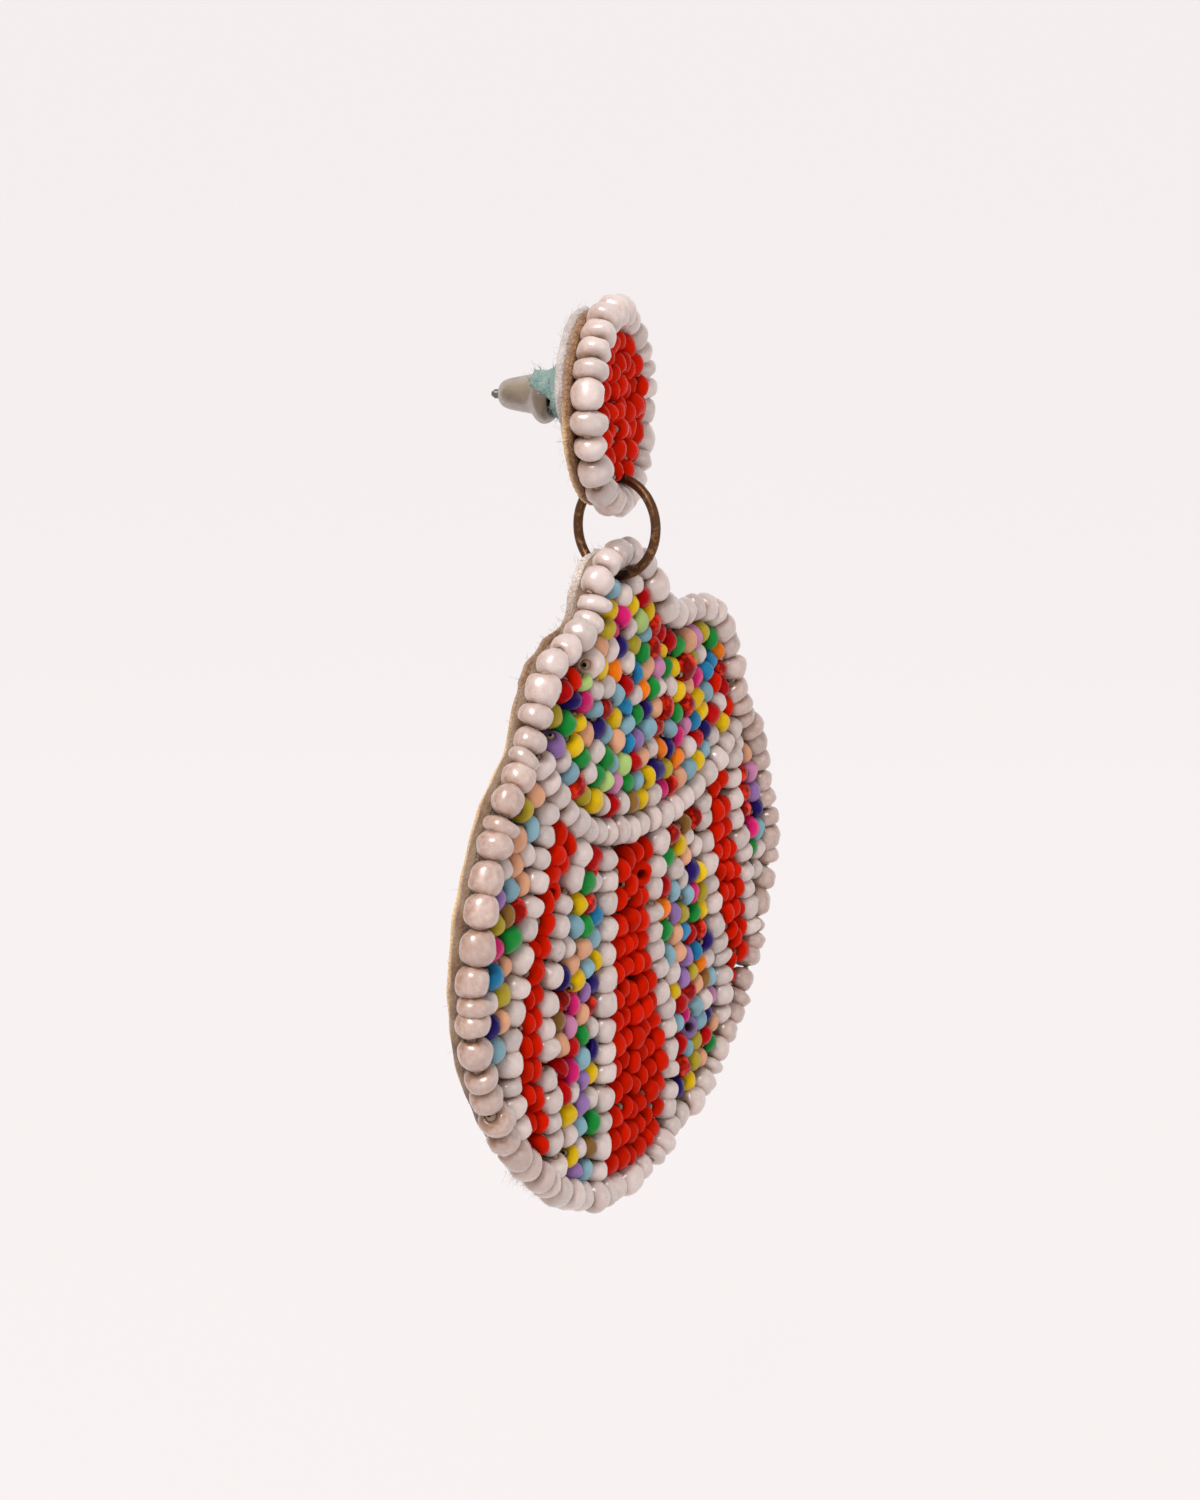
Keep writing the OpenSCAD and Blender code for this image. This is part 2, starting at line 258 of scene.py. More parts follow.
class Shader:
    """A material with short calls for its nodes."""

    def __init__(self, name, **sockets):
        self.material = bpy.data.materials.new(name)
        self.material.use_nodes = True
        self.tree = self.material.node_tree
        self.bsdf = self.tree.nodes["Principled BSDF"]
        for key, value in sockets.items():
            self.bsdf.inputs[key.replace("_", " ")].default_value = value
        self.place = self.add("ShaderNodeTexCoord").outputs["Object"]

    def add(self, kind, inputs=(), **settings):
        node = self.tree.nodes.new(kind)
        for key, value in settings.items():
            setattr(node, key, value)
        for key, value in dict(inputs).items():
            if isinstance(value, bpy.types.NodeSocket):
                self.tree.links.new(value, node.inputs[key])
            else:
                node.inputs[key].default_value = value
        return node

    def set(self, socket, value):
        self.tree.links.new(value, self.bsdf.inputs[socket])

    def noise(self, size_mm, detail=3, roughness=0.5):
        inputs = {"Vector": self.place, "Scale": 1 / (size_mm * MM), "Detail": detail}
        return self.add("ShaderNodeTexNoise", inputs | {"Roughness": roughness}).outputs[0]

    def cells(self, size_mm, feature="F1"):
        inputs = {"Vector": self.place, "Scale": 1 / (size_mm * MM)}
        return self.add("ShaderNodeTexVoronoi", inputs, feature=feature).outputs["Distance"]

    def attribute(self, name):
        return self.add("ShaderNodeAttribute", attribute_name=name).outputs["Fac"]

    def ramp(self, value, low_at, high_at, low_to=0.0, high_to=1.0):
        ends = {"From Min": low_at, "From Max": high_at, "To Min": low_to, "To Max": high_to}
        return self.add("ShaderNodeMapRange", {"Value": value} | ends).outputs["Result"]

    def times(self, a, b):
        return self.add("ShaderNodeMath", {0: a, 1: b}, operation="MULTIPLY").outputs[0]

    def plus(self, a, b):
        return self.add("ShaderNodeMath", {0: a, 1: b}, operation="ADD").outputs[0]

    def mix(self, factor, a, b):
        return self.add("ShaderNodeMix", {0: factor, 6: a, 7: b}, data_type="RGBA").outputs[2]

    def roughen(self, size_mm, low, high):
        self.set("Roughness", self.ramp(self.noise(size_mm, 4), 0.3, 0.7, low, high))

    def bump(self, height, depth_mm):
        inputs = {"Height": height, "Distance": depth_mm * MM, "Strength": 1.0}
        self.set("Normal", self.add("ShaderNodeBump", inputs).outputs["Normal"])


# Dark brown of dirt and painted shade in the beads' deepest crevices and holes, and of the specks in their
# pores
GRIME_AND_SHADE = srgb(104, 74, 54)


def bead_material(
    name, colour, rough=0.3, clear=0.0, soft=0.15, dirt_and_shade_amount=1.0, stain=None, gloss=0.4, painted_glint=None,
    frost=0.08, coat=0.0, ior=1.5,
):
    """Glass bead: its own colour, a little uneven, with dark specks in its pores, and stained with dirt and
    painted shade on its sides, its ends and in its hole.

    The glint colour is a brighter colour painted in patches on a clear bead as a painted glint of the light
    that shines through it, and frost how dusty it looks."""
    s = Shader(
        "bead_" + name, Subsurface_Weight=soft, Subsurface_Scale=0.5 * MM, IOR=ior,
        Subsurface_Radius=(1.0, 0.5, 0.35), Transmission_Weight=clear, Specular_IOR_Level=gloss,
        Sheen_Weight=frost, Sheen_Roughness=0.45, Coat_Weight=coat, Coat_Roughness=0.22,
    )
    if name != "white":
        tint = [0.1 + 0.9 * c for c in srgb(*(painted_glint or colour))[:3]]
        s.bsdf.inputs["Specular Tint"].default_value = tint + [1]
    shade = s.plus(s.times(s.attribute("shade"), 0.6), s.times(s.noise(1.3), 0.5))
    body = s.mix(s.ramp(shade, 0.3, 0.85), srgb(*(c * 0.88 for c in colour)), srgb(*colour))
    # Painted glint: patches of a brighter colour, as the light that shines through a clear bead
    if painted_glint:
        body = s.mix(s.ramp(s.noise(0.9, 2), 0.47, 0.66), body, srgb(*painted_glint))
    # Dirt and painted shade: a bead's sides, ends and hole turn towards its stain colour, and the deepest
    # places and the specks in its pores to dark brown
    sides = s.times(s.attribute("grime_and_shade"), s.ramp(s.noise(0.5, 4), 0.3, 0.65, 0.5 * dirt_and_shade_amount, dirt_and_shade_amount))
    stained_and_shaded = s.mix(s.ramp(sides, 0, 0.7), body, srgb(*(stain or [c * 0.62 for c in colour])))
    pores = s.ramp(s.noise(0.16, 2), 0.71, 0.77, 0, 0.5 * dirt_and_shade_amount)
    s.set("Base Color", s.mix(s.plus(s.ramp(sides, 0.6, 1.3), pores), stained_and_shaded, GRIME_AND_SHADE))
    s.roughen(0.7, rough - 0.06, rough + 0.1)
    s.bump(s.noise(0.5, 3), 0.012)
    return s.material


# The beads' colours: how often each comes up in a mixed field, and its look
# In a look, the stain colour and the amount of dirt give dirt and painted shade on a bead's sides, and the
# glint colour a painted glint
PALETTE = {
    "white": (19, dict(colour=(210, 192, 185), stain=(156, 112, 86), gloss=1.0, frost=0.25, coat=0.6)),
    "dark_red": (8, dict(
        colour=(132, 3, 0), painted_glint=(232, 44, 6), rough=0.08, soft=0.05, dirt_and_shade_amount=0.3, gloss=0.6, frost=0,
    )),
    "crimson": (7, dict(colour=(180, 4, 6), rough=0.14, dirt_and_shade_amount=0.5, gloss=0.3, frost=0.02)),
    "light_blue": (12, dict(colour=(134, 174, 188), rough=0.34)),
    "turquoise": (4, dict(colour=(34, 128, 176))),
    "navy": (7, dict(colour=(34, 16, 96), rough=0.25)),
    "green": (11, dict(colour=(22, 138, 52))),
    "pale_green": (3, dict(colour=(172, 200, 118), rough=0.32)),
    "yellow": (11, dict(colour=(232, 190, 4), rough=0.28)),
    "olive": (7, dict(colour=(178, 158, 40))),
    "peach": (11, dict(colour=(228, 168, 130), rough=0.34)),
    "lilac_pink": (5, dict(colour=(196, 126, 166), rough=0.32)),
    "hot_pink": (6, dict(colour=(212, 26, 110), rough=0.28)),
    "lilac": (4, dict(colour=(150, 114, 174), rough=0.32)),
    "orange": (3, dict(colour=(240, 122, 6), rough=0.26)),
    "topaz": (4, dict(colour=(150, 108, 52), rough=0.12, clear=0.2, soft=0.1, dirt_and_shade_amount=0.6)),
    "coral": (0, dict(colour=(208, 26, 0), rough=0.25, soft=0.04, dirt_and_shade_amount=0.5, gloss=0.3, frost=0, ior=1.18)),
}
COLOURS = list(PALETTE)
BEAD_MATERIALS = [bead_material(name, **look) for name, (_, look) in PALETTE.items()]
WEIGHTS = np.array([weight for weight, _ in PALETTE.values()], float)
WEIGHTS /= WEIGHTS.sum()


def mixed_colours(count):
    """Random colours, with no two alike in a row."""
    picked = []
    while len(picked) < count:
        c = int(rng.choice(len(COLOURS), p=WEIGHTS))
        if c not in picked[-1:]:
            picked.append(c)
    return picked


def coral_colours(count):
    """The one colour of the red fields, as often as asked."""
    return [COLOURS.index("coral")] * count


# Meshes


def add_object(name, data):
    made = bpy.data.objects.new(name, data)
    bpy.context.scene.collection.objects.link(made)
    return made


def make_object(name, vertices, faces, materials, slots=None, attributes=()):
    mesh = bpy.data.meshes.new(name)
    if isinstance(faces, np.ndarray):
        faces = faces.tolist()
    mesh.from_pydata(np.asarray(vertices).tolist(), [], faces)
    for m in materials:
        mesh.materials.append(m)
    if slots is not None:
        mesh.polygons.foreach_set("material_index", np.asarray(slots, np.int32))
    for key, values in dict(attributes).items():
        mesh.attributes.new(key, "FLOAT", "POINT").data.foreach_set("value", np.asarray(values, np.float32))
    mesh.shade_smooth()
    mesh.update()
    return add_object(name, mesh)


def finish_piece(made, body, node=None):
    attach(made, body)
    if node:
        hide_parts(node)


# A bead's last field makes its sides darker and browner
Bead = namedtuple("Bead", "at axis radius length hole colour thread stain", defaults=[True, 0.0])
# Points round a bead, along its section and in its hole; then round a thread and along it
SIDES, SECTION, HOLE_SECTION = 22, 16, 4
THREAD_SIDES, THREAD_SECTION = 8, 4


def axes_of(axis):
    axis = unit(axis)
    side = unit(np.cross(axis, [0.3, 1, 0.2]))
    return np.array([side, np.cross(axis, side), axis])


def bead_profile(hole, square):
    """Closed cross-section of a bead as (radius, height), from 0 to 1: a rounded wall and a hole."""
    turn = math.acos((hole * 1.35) ** (square / 2))
    a = np.linspace(-turn, turn, SECTION - HOLE_SECTION)
    outer, up = (np.sign(v) * np.abs(v) ** (2 / square) for v in (np.cos(a), np.sin(a)))
    inner = np.array([[1, 0.9], [0.9, 0.4], [0.9, -0.4], [1, -0.9]]) * [hole, up[-1]]
    return np.append(outer, inner[:, 0]), np.append(up, inner[:, 1])


# How far single beads go from round ones: the power of their section, and how much they are wedges, taper,
# are oval and bulge
SQUARE_FROM, SQUARE_TO = 2.15, 2.75
WEDGE, TAPER, OVAL, BULGE = 0.14, 0.07, 0.035, 0.022


def about_axis(turn, radial, height):
    """Points at the given turns, radii and heights about an upright axis."""
    return np.stack([radial * np.cos(turn), radial * np.sin(turn), height + 0 * turn], -1)


def bead_shape(bead):
    """Points of one bead as (SIDES, SECTION, 3) in its place's frame, and how much dirt and painted shade
    each gets.
    """
    turn = around(SIDES)[:, None]
    out, up = bead_profile(bead.hole / bead.radius, rng.uniform(SQUARE_FROM, SQUARE_TO))
    wedge = 1 + rng.uniform(0, WEDGE) * np.cos(turn - rng.uniform(0, 2 * np.pi))
    taper = 1 + rng.uniform(-TAPER, TAPER) * up
    oval = 1 + rng.uniform(-OVAL, OVAL) * np.cos(2 * (turn - rng.uniform(0, np.pi)))
    local = about_axis(turn, bead.radius * out * taper * oval, bead.length / 2 * up * wedge)
    for _ in range(4):
        push = np.sin(local @ random_wave(0.9, 2.4) + rng.uniform(0, 2 * np.pi)) * BULGE
        local = local * (1 + push[..., None] * [1, 1, 0.6])
    points = np.array(bead.at) + local @ axes_of(bead.axis)
    # Dirt and painted shade: darker towards the bead's ends, where it meets its neighbours, in its hole,
    # and on its side towards the felt
    deep = np.clip((points[..., 1] - bead.at[1]) / bead.radius + 0.25, 0, 1)
    in_hole = np.arange(SECTION) >= SECTION - HOLE_SECTION
    grime_and_shade = np.clip(np.abs(up) ** 5 * 0.6 + in_hole * 0.9 + 0.6 * deep + bead.stain, 0, 1)
    return points, grime_and_shade


def thread_shape(bead):
    """Thread that fills a bead's hole and shows between it and its neighbours."""
    reach = bead.length * 0.56
    height = np.array([-reach, -reach * 0.8, reach * 0.8, reach])
    radial = np.array([0.5, 1, 1, 0.5]) * bead.hole * 1.1
    local = about_axis(around(THREAD_SIDES)[:, None], radial, height)
    return np.array(bead.at) + local @ axes_of(bead.axis)


def tube_faces(sides, section, closed):
    i, k = np.meshgrid(np.arange(sides), np.arange(section if closed else section - 1), indexing="ij")
    j, m = (i + 1) % sides, (k + 1) % section
    quads = [i * section + k, j * section + k, j * section + m, i * section + m]
    return np.stack(quads, -1).reshape(-1, 4)


BEAD_FACES = tube_faces(SIDES, SECTION, closed=True)
THREAD_FACES = tube_faces(THREAD_SIDES, THREAD_SECTION, closed=False)


def beadwork(node, beads, place=DROP):
    """All the beads of one node, with their threads, as one mesh."""
    used = sorted({b.colour for b in beads})
    points, faces, slots, shade, grime_and_shade = [], [], [], [], []
    count = 0
    for bead in beads:
        shape, dirt_and_shade = bead_shape(bead)
        parts = [(shape, BEAD_FACES, used.index(bead.colour), dirt_and_shade)]
        if bead.thread:
            thread = thread_shape(bead)
            parts.append((thread, THREAD_FACES, len(used), np.ones(thread.shape[:2])))
        tone = rng.uniform()
        for shape, links, material, dirt_and_shade in parts:
            points.append(shape.reshape(-1, 3))
            faces.append(links + count)
            slots.append(np.full(len(links), material))
            shade.append(np.full(dirt_and_shade.size, tone))
            grime_and_shade.append(dirt_and_shade.reshape(-1))
            count += dirt_and_shade.size
    points, faces, slots, shade, grime_and_shade = map(np.concatenate, (points, faces, slots, shade, grime_and_shade))
    materials = [BEAD_MATERIALS[c] for c in used] + [MATERIALS["thread"]]
    # Attributes: dirt with painted shade for each point, and each bead's own random tone
    attributes = {"grime_and_shade": grime_and_shade, "shade": shade}
    made = make_object(node + "_beads", place.points(points), faces, materials, slots, attributes)
    finish_piece(made, place.body, node)


def rotated(x, z, angle):
    c, s = math.cos(angle), math.sin(angle)
    return x * c - z * s, x * s + z * c


def turned(direction, degrees):
    """A direction in the x, z plane turned by a small angle in it, and out of it by another."""
    within, out = (math.radians(rng.normal(0, degrees)) for _ in range(2))
    x, z = rotated(*direction, within)
    return np.array([x, math.sin(out), z])


# How far single beads may be from the mean length and radius of their string
SHORTEST, LONGEST = 0.62, 1.35
THINNEST, THICKEST = 0.9, 1.06


def bead_string(start, end, radius, mean_length, spread=0.12):
    """(places, lengths, radii) of beads that fill a string from start to end."""
    whole = end - start
    count = max(1, round(whole / mean_length))
    length = np.clip(rng.normal(1, spread, count), SHORTEST, LONGEST)
    length *= whole / length.sum()
    at = start + np.cumsum(length) - length / 2
    return at, length, radius * np.clip(rng.normal(1, 0.045, count), THINNEST, THICKEST)


# Strings of white beads


# Of a sewn bead: its length over its share of the string, its hole over its radius, how far it stands off
OVERLAP, HOLE_SHARE, LIFT = 1.06, 0.28, 0.12
WHITE = COLOURS.index("white")
# How much darker and browner the beads on the shell's left and right edges are made, by x
SIDE_DARKENING_X, SIDE_DARKENING = [-20, -12, 17, 23], [0.42, 0, 0, 0.4]
# The edge beads by the ring: how far across and how low they lie, and their radius
BY_RING_X, BY_RING_Z, BY_RING_R = 4, -3, 1.34


def string_on_drop(curve, start, end, radius, mean_length, wobble=0.1, tilt=5, spread=0.12):
    """White beads along a curve of the drop, sewn down on its felt."""
    at, lengths, radii = bead_string(start, end, radius, mean_length, spread)
    points, ways = along(curve, at)
    beads = []
    for p, way, length, r in zip(points, ways, lengths, radii):
        x, z = p + rng.normal(0, wobble, 2)
        y = FELT_FRONT - r - rng.uniform(0, LIFT)
        beads.append(Bead((x, y, z), turned(way, tilt), r, length * OVERLAP, r * HOLE_SHARE, WHITE))
    return beads


# Makes the beads on the shell's left and right edges darker and browner, by x
def darker_at_sides(bead):
    return bead._replace(stain=np.interp(bead.at[0], SIDE_DARKENING_X, SIDE_DARKENING))


def near_ring(bead):
    """Keeps a bead by the ring small and in place, because the wire passes close to it."""
    x, _, z = bead.at
    if abs(x) > BY_RING_X or z < BY_RING_Z:
        return bead
    at = (x, FELT_FRONT - 0.02 - BY_RING_R, z)
    return bead._replace(at=at, radius=BY_RING_R, length=bead.length * 0.95)


def slanted(bead):
    """Beads of the lower left lie at a slant to their string."""
    if bead.at[0] > -9 or bead.at[2] > -38:
        return bead
    x, z = rotated(bead.axis[0], bead.axis[2], math.radians(rng.normal(15, 8)))
    return bead._replace(axis=(x, bead.axis[1], z))


def drop_rim():
    loop = np.vstack([edge_loop, edge[1:4]])
    whole = path_lengths(edge_loop)[-1]
    beads = string_on_drop(loop, 0, whole, EDGE_R, 2.3, wobble=0.13, tilt=7, spread=0.18)
    beadwork("drop_rim", [slanted(near_ring(darker_at_sides(b))) for b in beads])


def trimmed(curve, walls, samples=300):
    """Start and end, along a curve, of the stretch that stays clear of the walls."""
    whole = path_lengths(curve)[-1]
    fine, _ = along(curve, np.linspace(0, whole, samples))
    free = np.ones(samples, bool)
    for wall, room in walls:
        free &= distance(fine, wall)[0] > room
    where = np.nonzero(free)[0]
    return np.array([where[0], where[-1] + 1]) / samples * whole


def panel_arc():
    start, end = trimmed(arc, [(edge_loop, EDGE_R - 0.3)])
    beadwork("panel_arc", string_on_drop(arc, start, end, LINE_R, 2.2))


def white_line(i):
    start, end = trimmed(lines[i], [(edge_loop, EDGE_R - 0.3), (arc, LINE_R - 0.2)])
    beads = string_on_drop(lines[i], start, end, LINE_R, 2.25, wobble=0.15, tilt=7)
    beadwork(f"white_line_{i + 1}", beads)


def stud_rim():
    at, lengths, radii = bead_string(0, 2 * np.pi * STUD_RIM_R, STUD_R, 2.3, 0.15)
    beads = []
    for s, length, r in zip(at, lengths, radii):
        a = s / STUD_RIM_R
        out = np.array([math.sin(a), 0, math.cos(a)])
        if out[2] < -0.8:
            # By the ring a bead stays small and in place
            r = min(r, 1.5)
            shift, lift = 0, STUD_R - r
        else:
            shift, lift = rng.normal(0, 0.1), rng.uniform(0, LIFT)
        middle = STUD_MIDDLE + out * (STUD_RIM_R + shift) + [0, lift, 0]
        way = turned((math.cos(a), -math.sin(a)), 6)
        beads.append(Bead(middle, way, r, length * OVERLAP, r * HOLE_SHARE, WHITE))
    beadwork("stud_rim", beads, place=STUD)


# Fields of beads


# Large or turned beads that stand out, as x, z, radius and colour; the turned ones show their holes
ACCENTS = {
    "panel": [
        (2.4, -3.6, 1.25, "yellow"), (-1.3, -3.9, 1.1, "light_blue"), (0.2, -5.2, 1.05, "hot_pink"),
        (3.1, -6.2, 1.3, "dark_red"), (5.0, -7.6, 1.2, "lilac_pink"), (-5.2, -7.2, 1.4, "white"),
        (-1.0, -7.2, 1.3, "white"), (2.1, -8.5, 1.15, "turquoise"), (-1.3, -9.6, 1.25, "light_blue"),
        (10.8, -8.4, 1.35, "peach"), (10.1, -10.9, 1.45, "dark_red"), (6.6, -9.4, 1.2, "green"),
        (17.3, -8.6, 1.2, "green"), (16.4, -11.3, 1.15, "turquoise"), (20, -12.1, 1.2, "crimson"),
        (17.4, -13.9, 1.25, "coral"), (20.3, -14.6, 1.2, "coral"), (7.2, -13, 1.35, "dark_red"),
        (10.9, -13.6, 1.25, "dark_red"), (-8.2, -10.2, 1.1, "coral"), (3.2, -11, 1.15, "navy"),
    ],
    2: [(-8.6, -25.4, 1.25, "coral", True), (-12.6, -28, 1.2, "coral", True)],
    3: [(-9.4, -31.2, 1.25, "light_blue"), (-7.4, -29.4, 1.2, "dark_red"), (-10, -38.6, 1.15, "hot_pink")],
    4: [(3.2, -30.2, 1.35, "coral", True)],
    5: [
        (10.2, -27.9, 1.25, "yellow"), (13.4, -32, 1.35, "navy"), (13.6, -34.6, 1.15, "hot_pink"),
        (14.2, -37, 1.25, "dark_red"), (15.4, -40.1, 1.2, "orange"), (13.4, -43, 1.25, "dark_red"),
        (12.9, -47.2, 1.25, "lilac", True), (16.2, -48.2, 1.2, "crimson"), (13.2, -51.8, 1.2, "yellow"),
    ],
}


# Shares of the distance at which two beads touch: the one that they settle at, and the least that is kept
SQUEEZE, TOO_NEAR = 0.97, 0.62
# Part of an overlap that one step takes away, and a bead's distance to itself, which never counts
PUSH, FAR = 0.35, 99
# How unlike in length the beads of a field are, and how far they stray from their row
FIELD_SPREAD, STRAY = 0.15, 0.16


class Field:
    """Beads that lie in a region, pushed apart until they fit beside each other and its walls."""

    def __init__(self, accents=()):
        self.at, self.angle, self.half, self.radius, self.colour = [], [], [], [], []
        self.turned = set()
        for n, (x, z, radius, colour, *shows_hole) in enumerate(accents):
            half = radius if shows_hole else radius * 0.78
            self.add([x, z], rng.uniform(-0.5, 0.5), half, radius, COLOURS.index(colour))
            if shows_hole:
                self.turned.add(n)

    def add(self, at, angle, half, radius, colour):
        self.at = [*self.at, np.array(at)]
        self.angle.append(angle)
        self.half.append(half)
        self.radius.append(radius)
        self.colour.append(colour)

    def add_turned(self, at, way, degrees, *rest):
        """Adds a bead that lies about along a direction."""
        self.add(at, math.atan2(way[1], way[0]) + math.radians(rng.normal(0, degrees)), *rest)

    def row(self, start, end, radius, mean_length, colours, tilt=12):
        """Beads strung from start to end."""
        width = np.linalg.norm(end - start)
        way = unit(end - start)
        beads = zip(*bead_string(0, width, radius, mean_length, FIELD_SPREAD))
        for k, (place, length, r) in enumerate(beads):
            at = start + way * place + rng.normal(0, STRAY, 2)
            self.add_turned(at, way, tilt, length / 2, r, colours[k % len(colours)])

    def extent(self, way):
        """Half the width of the beads in the given directions."""
        x, z, a = way[..., 0], way[..., 1], np.array(self.angle)
        axial = np.array(self.half) * (x * np.cos(a) + z * np.sin(a))
        cross = np.array(self.radius) * (z * np.cos(a) - x * np.sin(a))
        return np.sqrt(axial**2 + cross**2)

    def pairs(self, at):
        """For each two beads: their distance, its direction, and the distance at which they touch."""
        gap = at[:, None] - at[None]
        d = np.linalg.norm(gap, axis=-1) + np.eye(len(at)) * FAR
        way = gap / d[..., None]
        return d, way, self.extent(-way) + self.extent(way.transpose(1, 0, 2)).T

    def settle(self, walls, steps):
        """Pushes the beads apart, and tells which of them lie well enough to be kept."""
        at = np.array(self.at)
        for _ in range(steps):
            d, way, touch = self.pairs(at)
            need = SQUEEZE * touch - d
            at = at + PUSH * (np.clip(need, 0, 1)[..., None] * way).sum(1)
            for wall, room in walls:
                d, q = distance(at, wall)
                way = (at - q) / np.maximum(d, 1e-6)[:, None]
                need = room + SQUEEZE * self.extent(way) - d
                at = at + np.clip(need, 0, 1)[:, None] * way
        self.at = at
        d, _, touch = self.pairs(at)
        keep = np.ones(len(at), bool)
        for i in range(len(at)):
            keep[i] = not (keep[:i] & (d[i, :i] < TOO_NEAR * touch[i, :i])).any()
        for wall, room in walls:
            keep &= distance(at, wall)[0] > 0.8 * (room + 0.8 * np.array(self.half))
        return keep

    def fill(self, box, allowed, walls, radius, draw, most=60):
        """Puts beads into the empty places of a region, the largest first."""
        grid = grid_points(*box, 0.3)
        grid = grid[allowed(grid)]
        room = np.min([distance(grid, wall)[0] - gap for wall, gap in walls], axis=0)
        grid, room = grid[room > 0.45 * radius], room[room > 0.45 * radius]
        for _ in range(most):
            gap = grid[:, None] - np.array(self.at)[None]
            d = np.linalg.norm(gap, axis=-1)
            free = np.minimum(room, (d - self.extent(gap / np.maximum(d, 1e-6)[..., None])).min(1))
            best = free.argmax() if len(grid) else 0
            if not len(grid) or free[best] < 0.62 * radius:
                break
            half = min(0.85, free[best] * 1.1)
            self.add(grid[best], rng.uniform(0, np.pi), half, radius * rng.uniform(0.9, 1.02), draw(1)[0])

    def fit(self, walls, box, allowed, radius, draw):
        """Settles the beads and those that fill their gaps, and tells which of all to keep."""
        self.settle(walls, 40)
        self.fill(box, allowed, walls, radius, draw)
        return self.settle(walls, 30)

    def beads(self, keep, front, relief=0.35):
        """The kept beads on a surface at the given depth, standing off by up to the relief."""
        made = []
        for n in np.nonzero(keep)[0]:
            x, z = self.at[n]
            r, colour, angle = self.radius[n], self.colour[n], self.angle[n]
            if n in self.turned:
                way = unit([-0.45, -0.8, rng.uniform(-0.2, 0.3)])
                made.append(Bead((x, front - r - 0.1, z), way, r, r * 1.25, r * 0.36, colour, thread=False))
                continue
            way = turned((math.cos(angle), math.sin(angle)), 7)
            y = front - r - rng.uniform(0, relief)
            made.append(Bead((x, y, z), way, r, 2 * self.half[n] * 1.05, r * 0.3, colour))
        return made


def falling(curve):
    """A curve's points from top to bottom."""
    return curve[np.argsort(-curve[:, 1])]


def at_height(curve, z):
    """x of a curve that falls from top to bottom, at a height."""
    x, height = curve.T
    return np.interp(-z, -height, x)


# What the stripes lie between, from left to right, and the heights that their rows keep to
BOUNDS = [falling(edge[edge[:, 0] < -12]), *lines, falling(edge[edge[:, 0] > 18])]
STRIPES_TOP, STRIPES_LOW = -16.0, -60
# Room between a row's middle and the edge or the arc, the narrowest row, and the rows' pitch in beads
ROW_ROOM, ROW_LEAST, ROW_PITCH = 0.8, 0.9, 0.985


def stripe(i):
    """Rows of beads across the stripe between two boundaries."""
    red = i + 1 in RED_STRIPES
    radius, mean_length = (RED_R, RED_LENGTH) if red else (FIELD_R, FIELD_LENGTH)
    draw = coral_colours if red else mixed_colours
    left, right = BOUNDS[i], BOUNDS[i + 1]
    room_left = EDGE_R if i == 0 else LINE_R
    room_right = EDGE_R if i == len(lines) else LINE_R
    walls = [(edge_loop, EDGE_R), (arc, LINE_R)]
    walls += [(line, LINE_R) for line in lines[max(i - 1, 0) : i + 1]]
    field = Field(ACCENTS.get(i + 1, ()))
    z = STRIPES_TOP
    while z > STRIPES_LOW:
        rise = rng.normal(0, 0.25)
        a = np.array([at_height(left, z) + room_left, z - rise])
        b = np.array([at_height(right, z) - room_right, z + rise])
        width = b[0] - a[0]
        middle = (a + b)[None] / 2
        open_here = inside(middle, edge)[0] and distance(middle, edge_loop)[0][0] > EDGE_R + ROW_ROOM
        open_here &= z < arc_height(middle[0, 0]) - LINE_R - ROW_ROOM
        if open_here and width > ROW_LEAST:
            field.row(a, b, radius, mean_length, draw(1 + int(width / 1.2)))
        z -= 2 * radius * ROW_PITCH

    def in_stripe(p):
        x, z = p.T
        return (x > at_height(left, z)) & (x < at_height(right, z)) & (z < arc_height(x)) & inside(p, edge)

    x = np.concatenate([left[:, 0], right[:, 0]])
    box = (x.min(), STRIPES_LOW), (x.max(), STRIPES_TOP + 1)
    keep = field.fit(walls, box, in_stripe, radius, draw)
    beadwork(f"stripe_{i + 1}", field.beads(keep, FELT_FRONT))


def clear_of_hole(p, room=1.2):
    return np.hypot(*p.T) > HOLE_R + room


PANEL_ROWS = 12


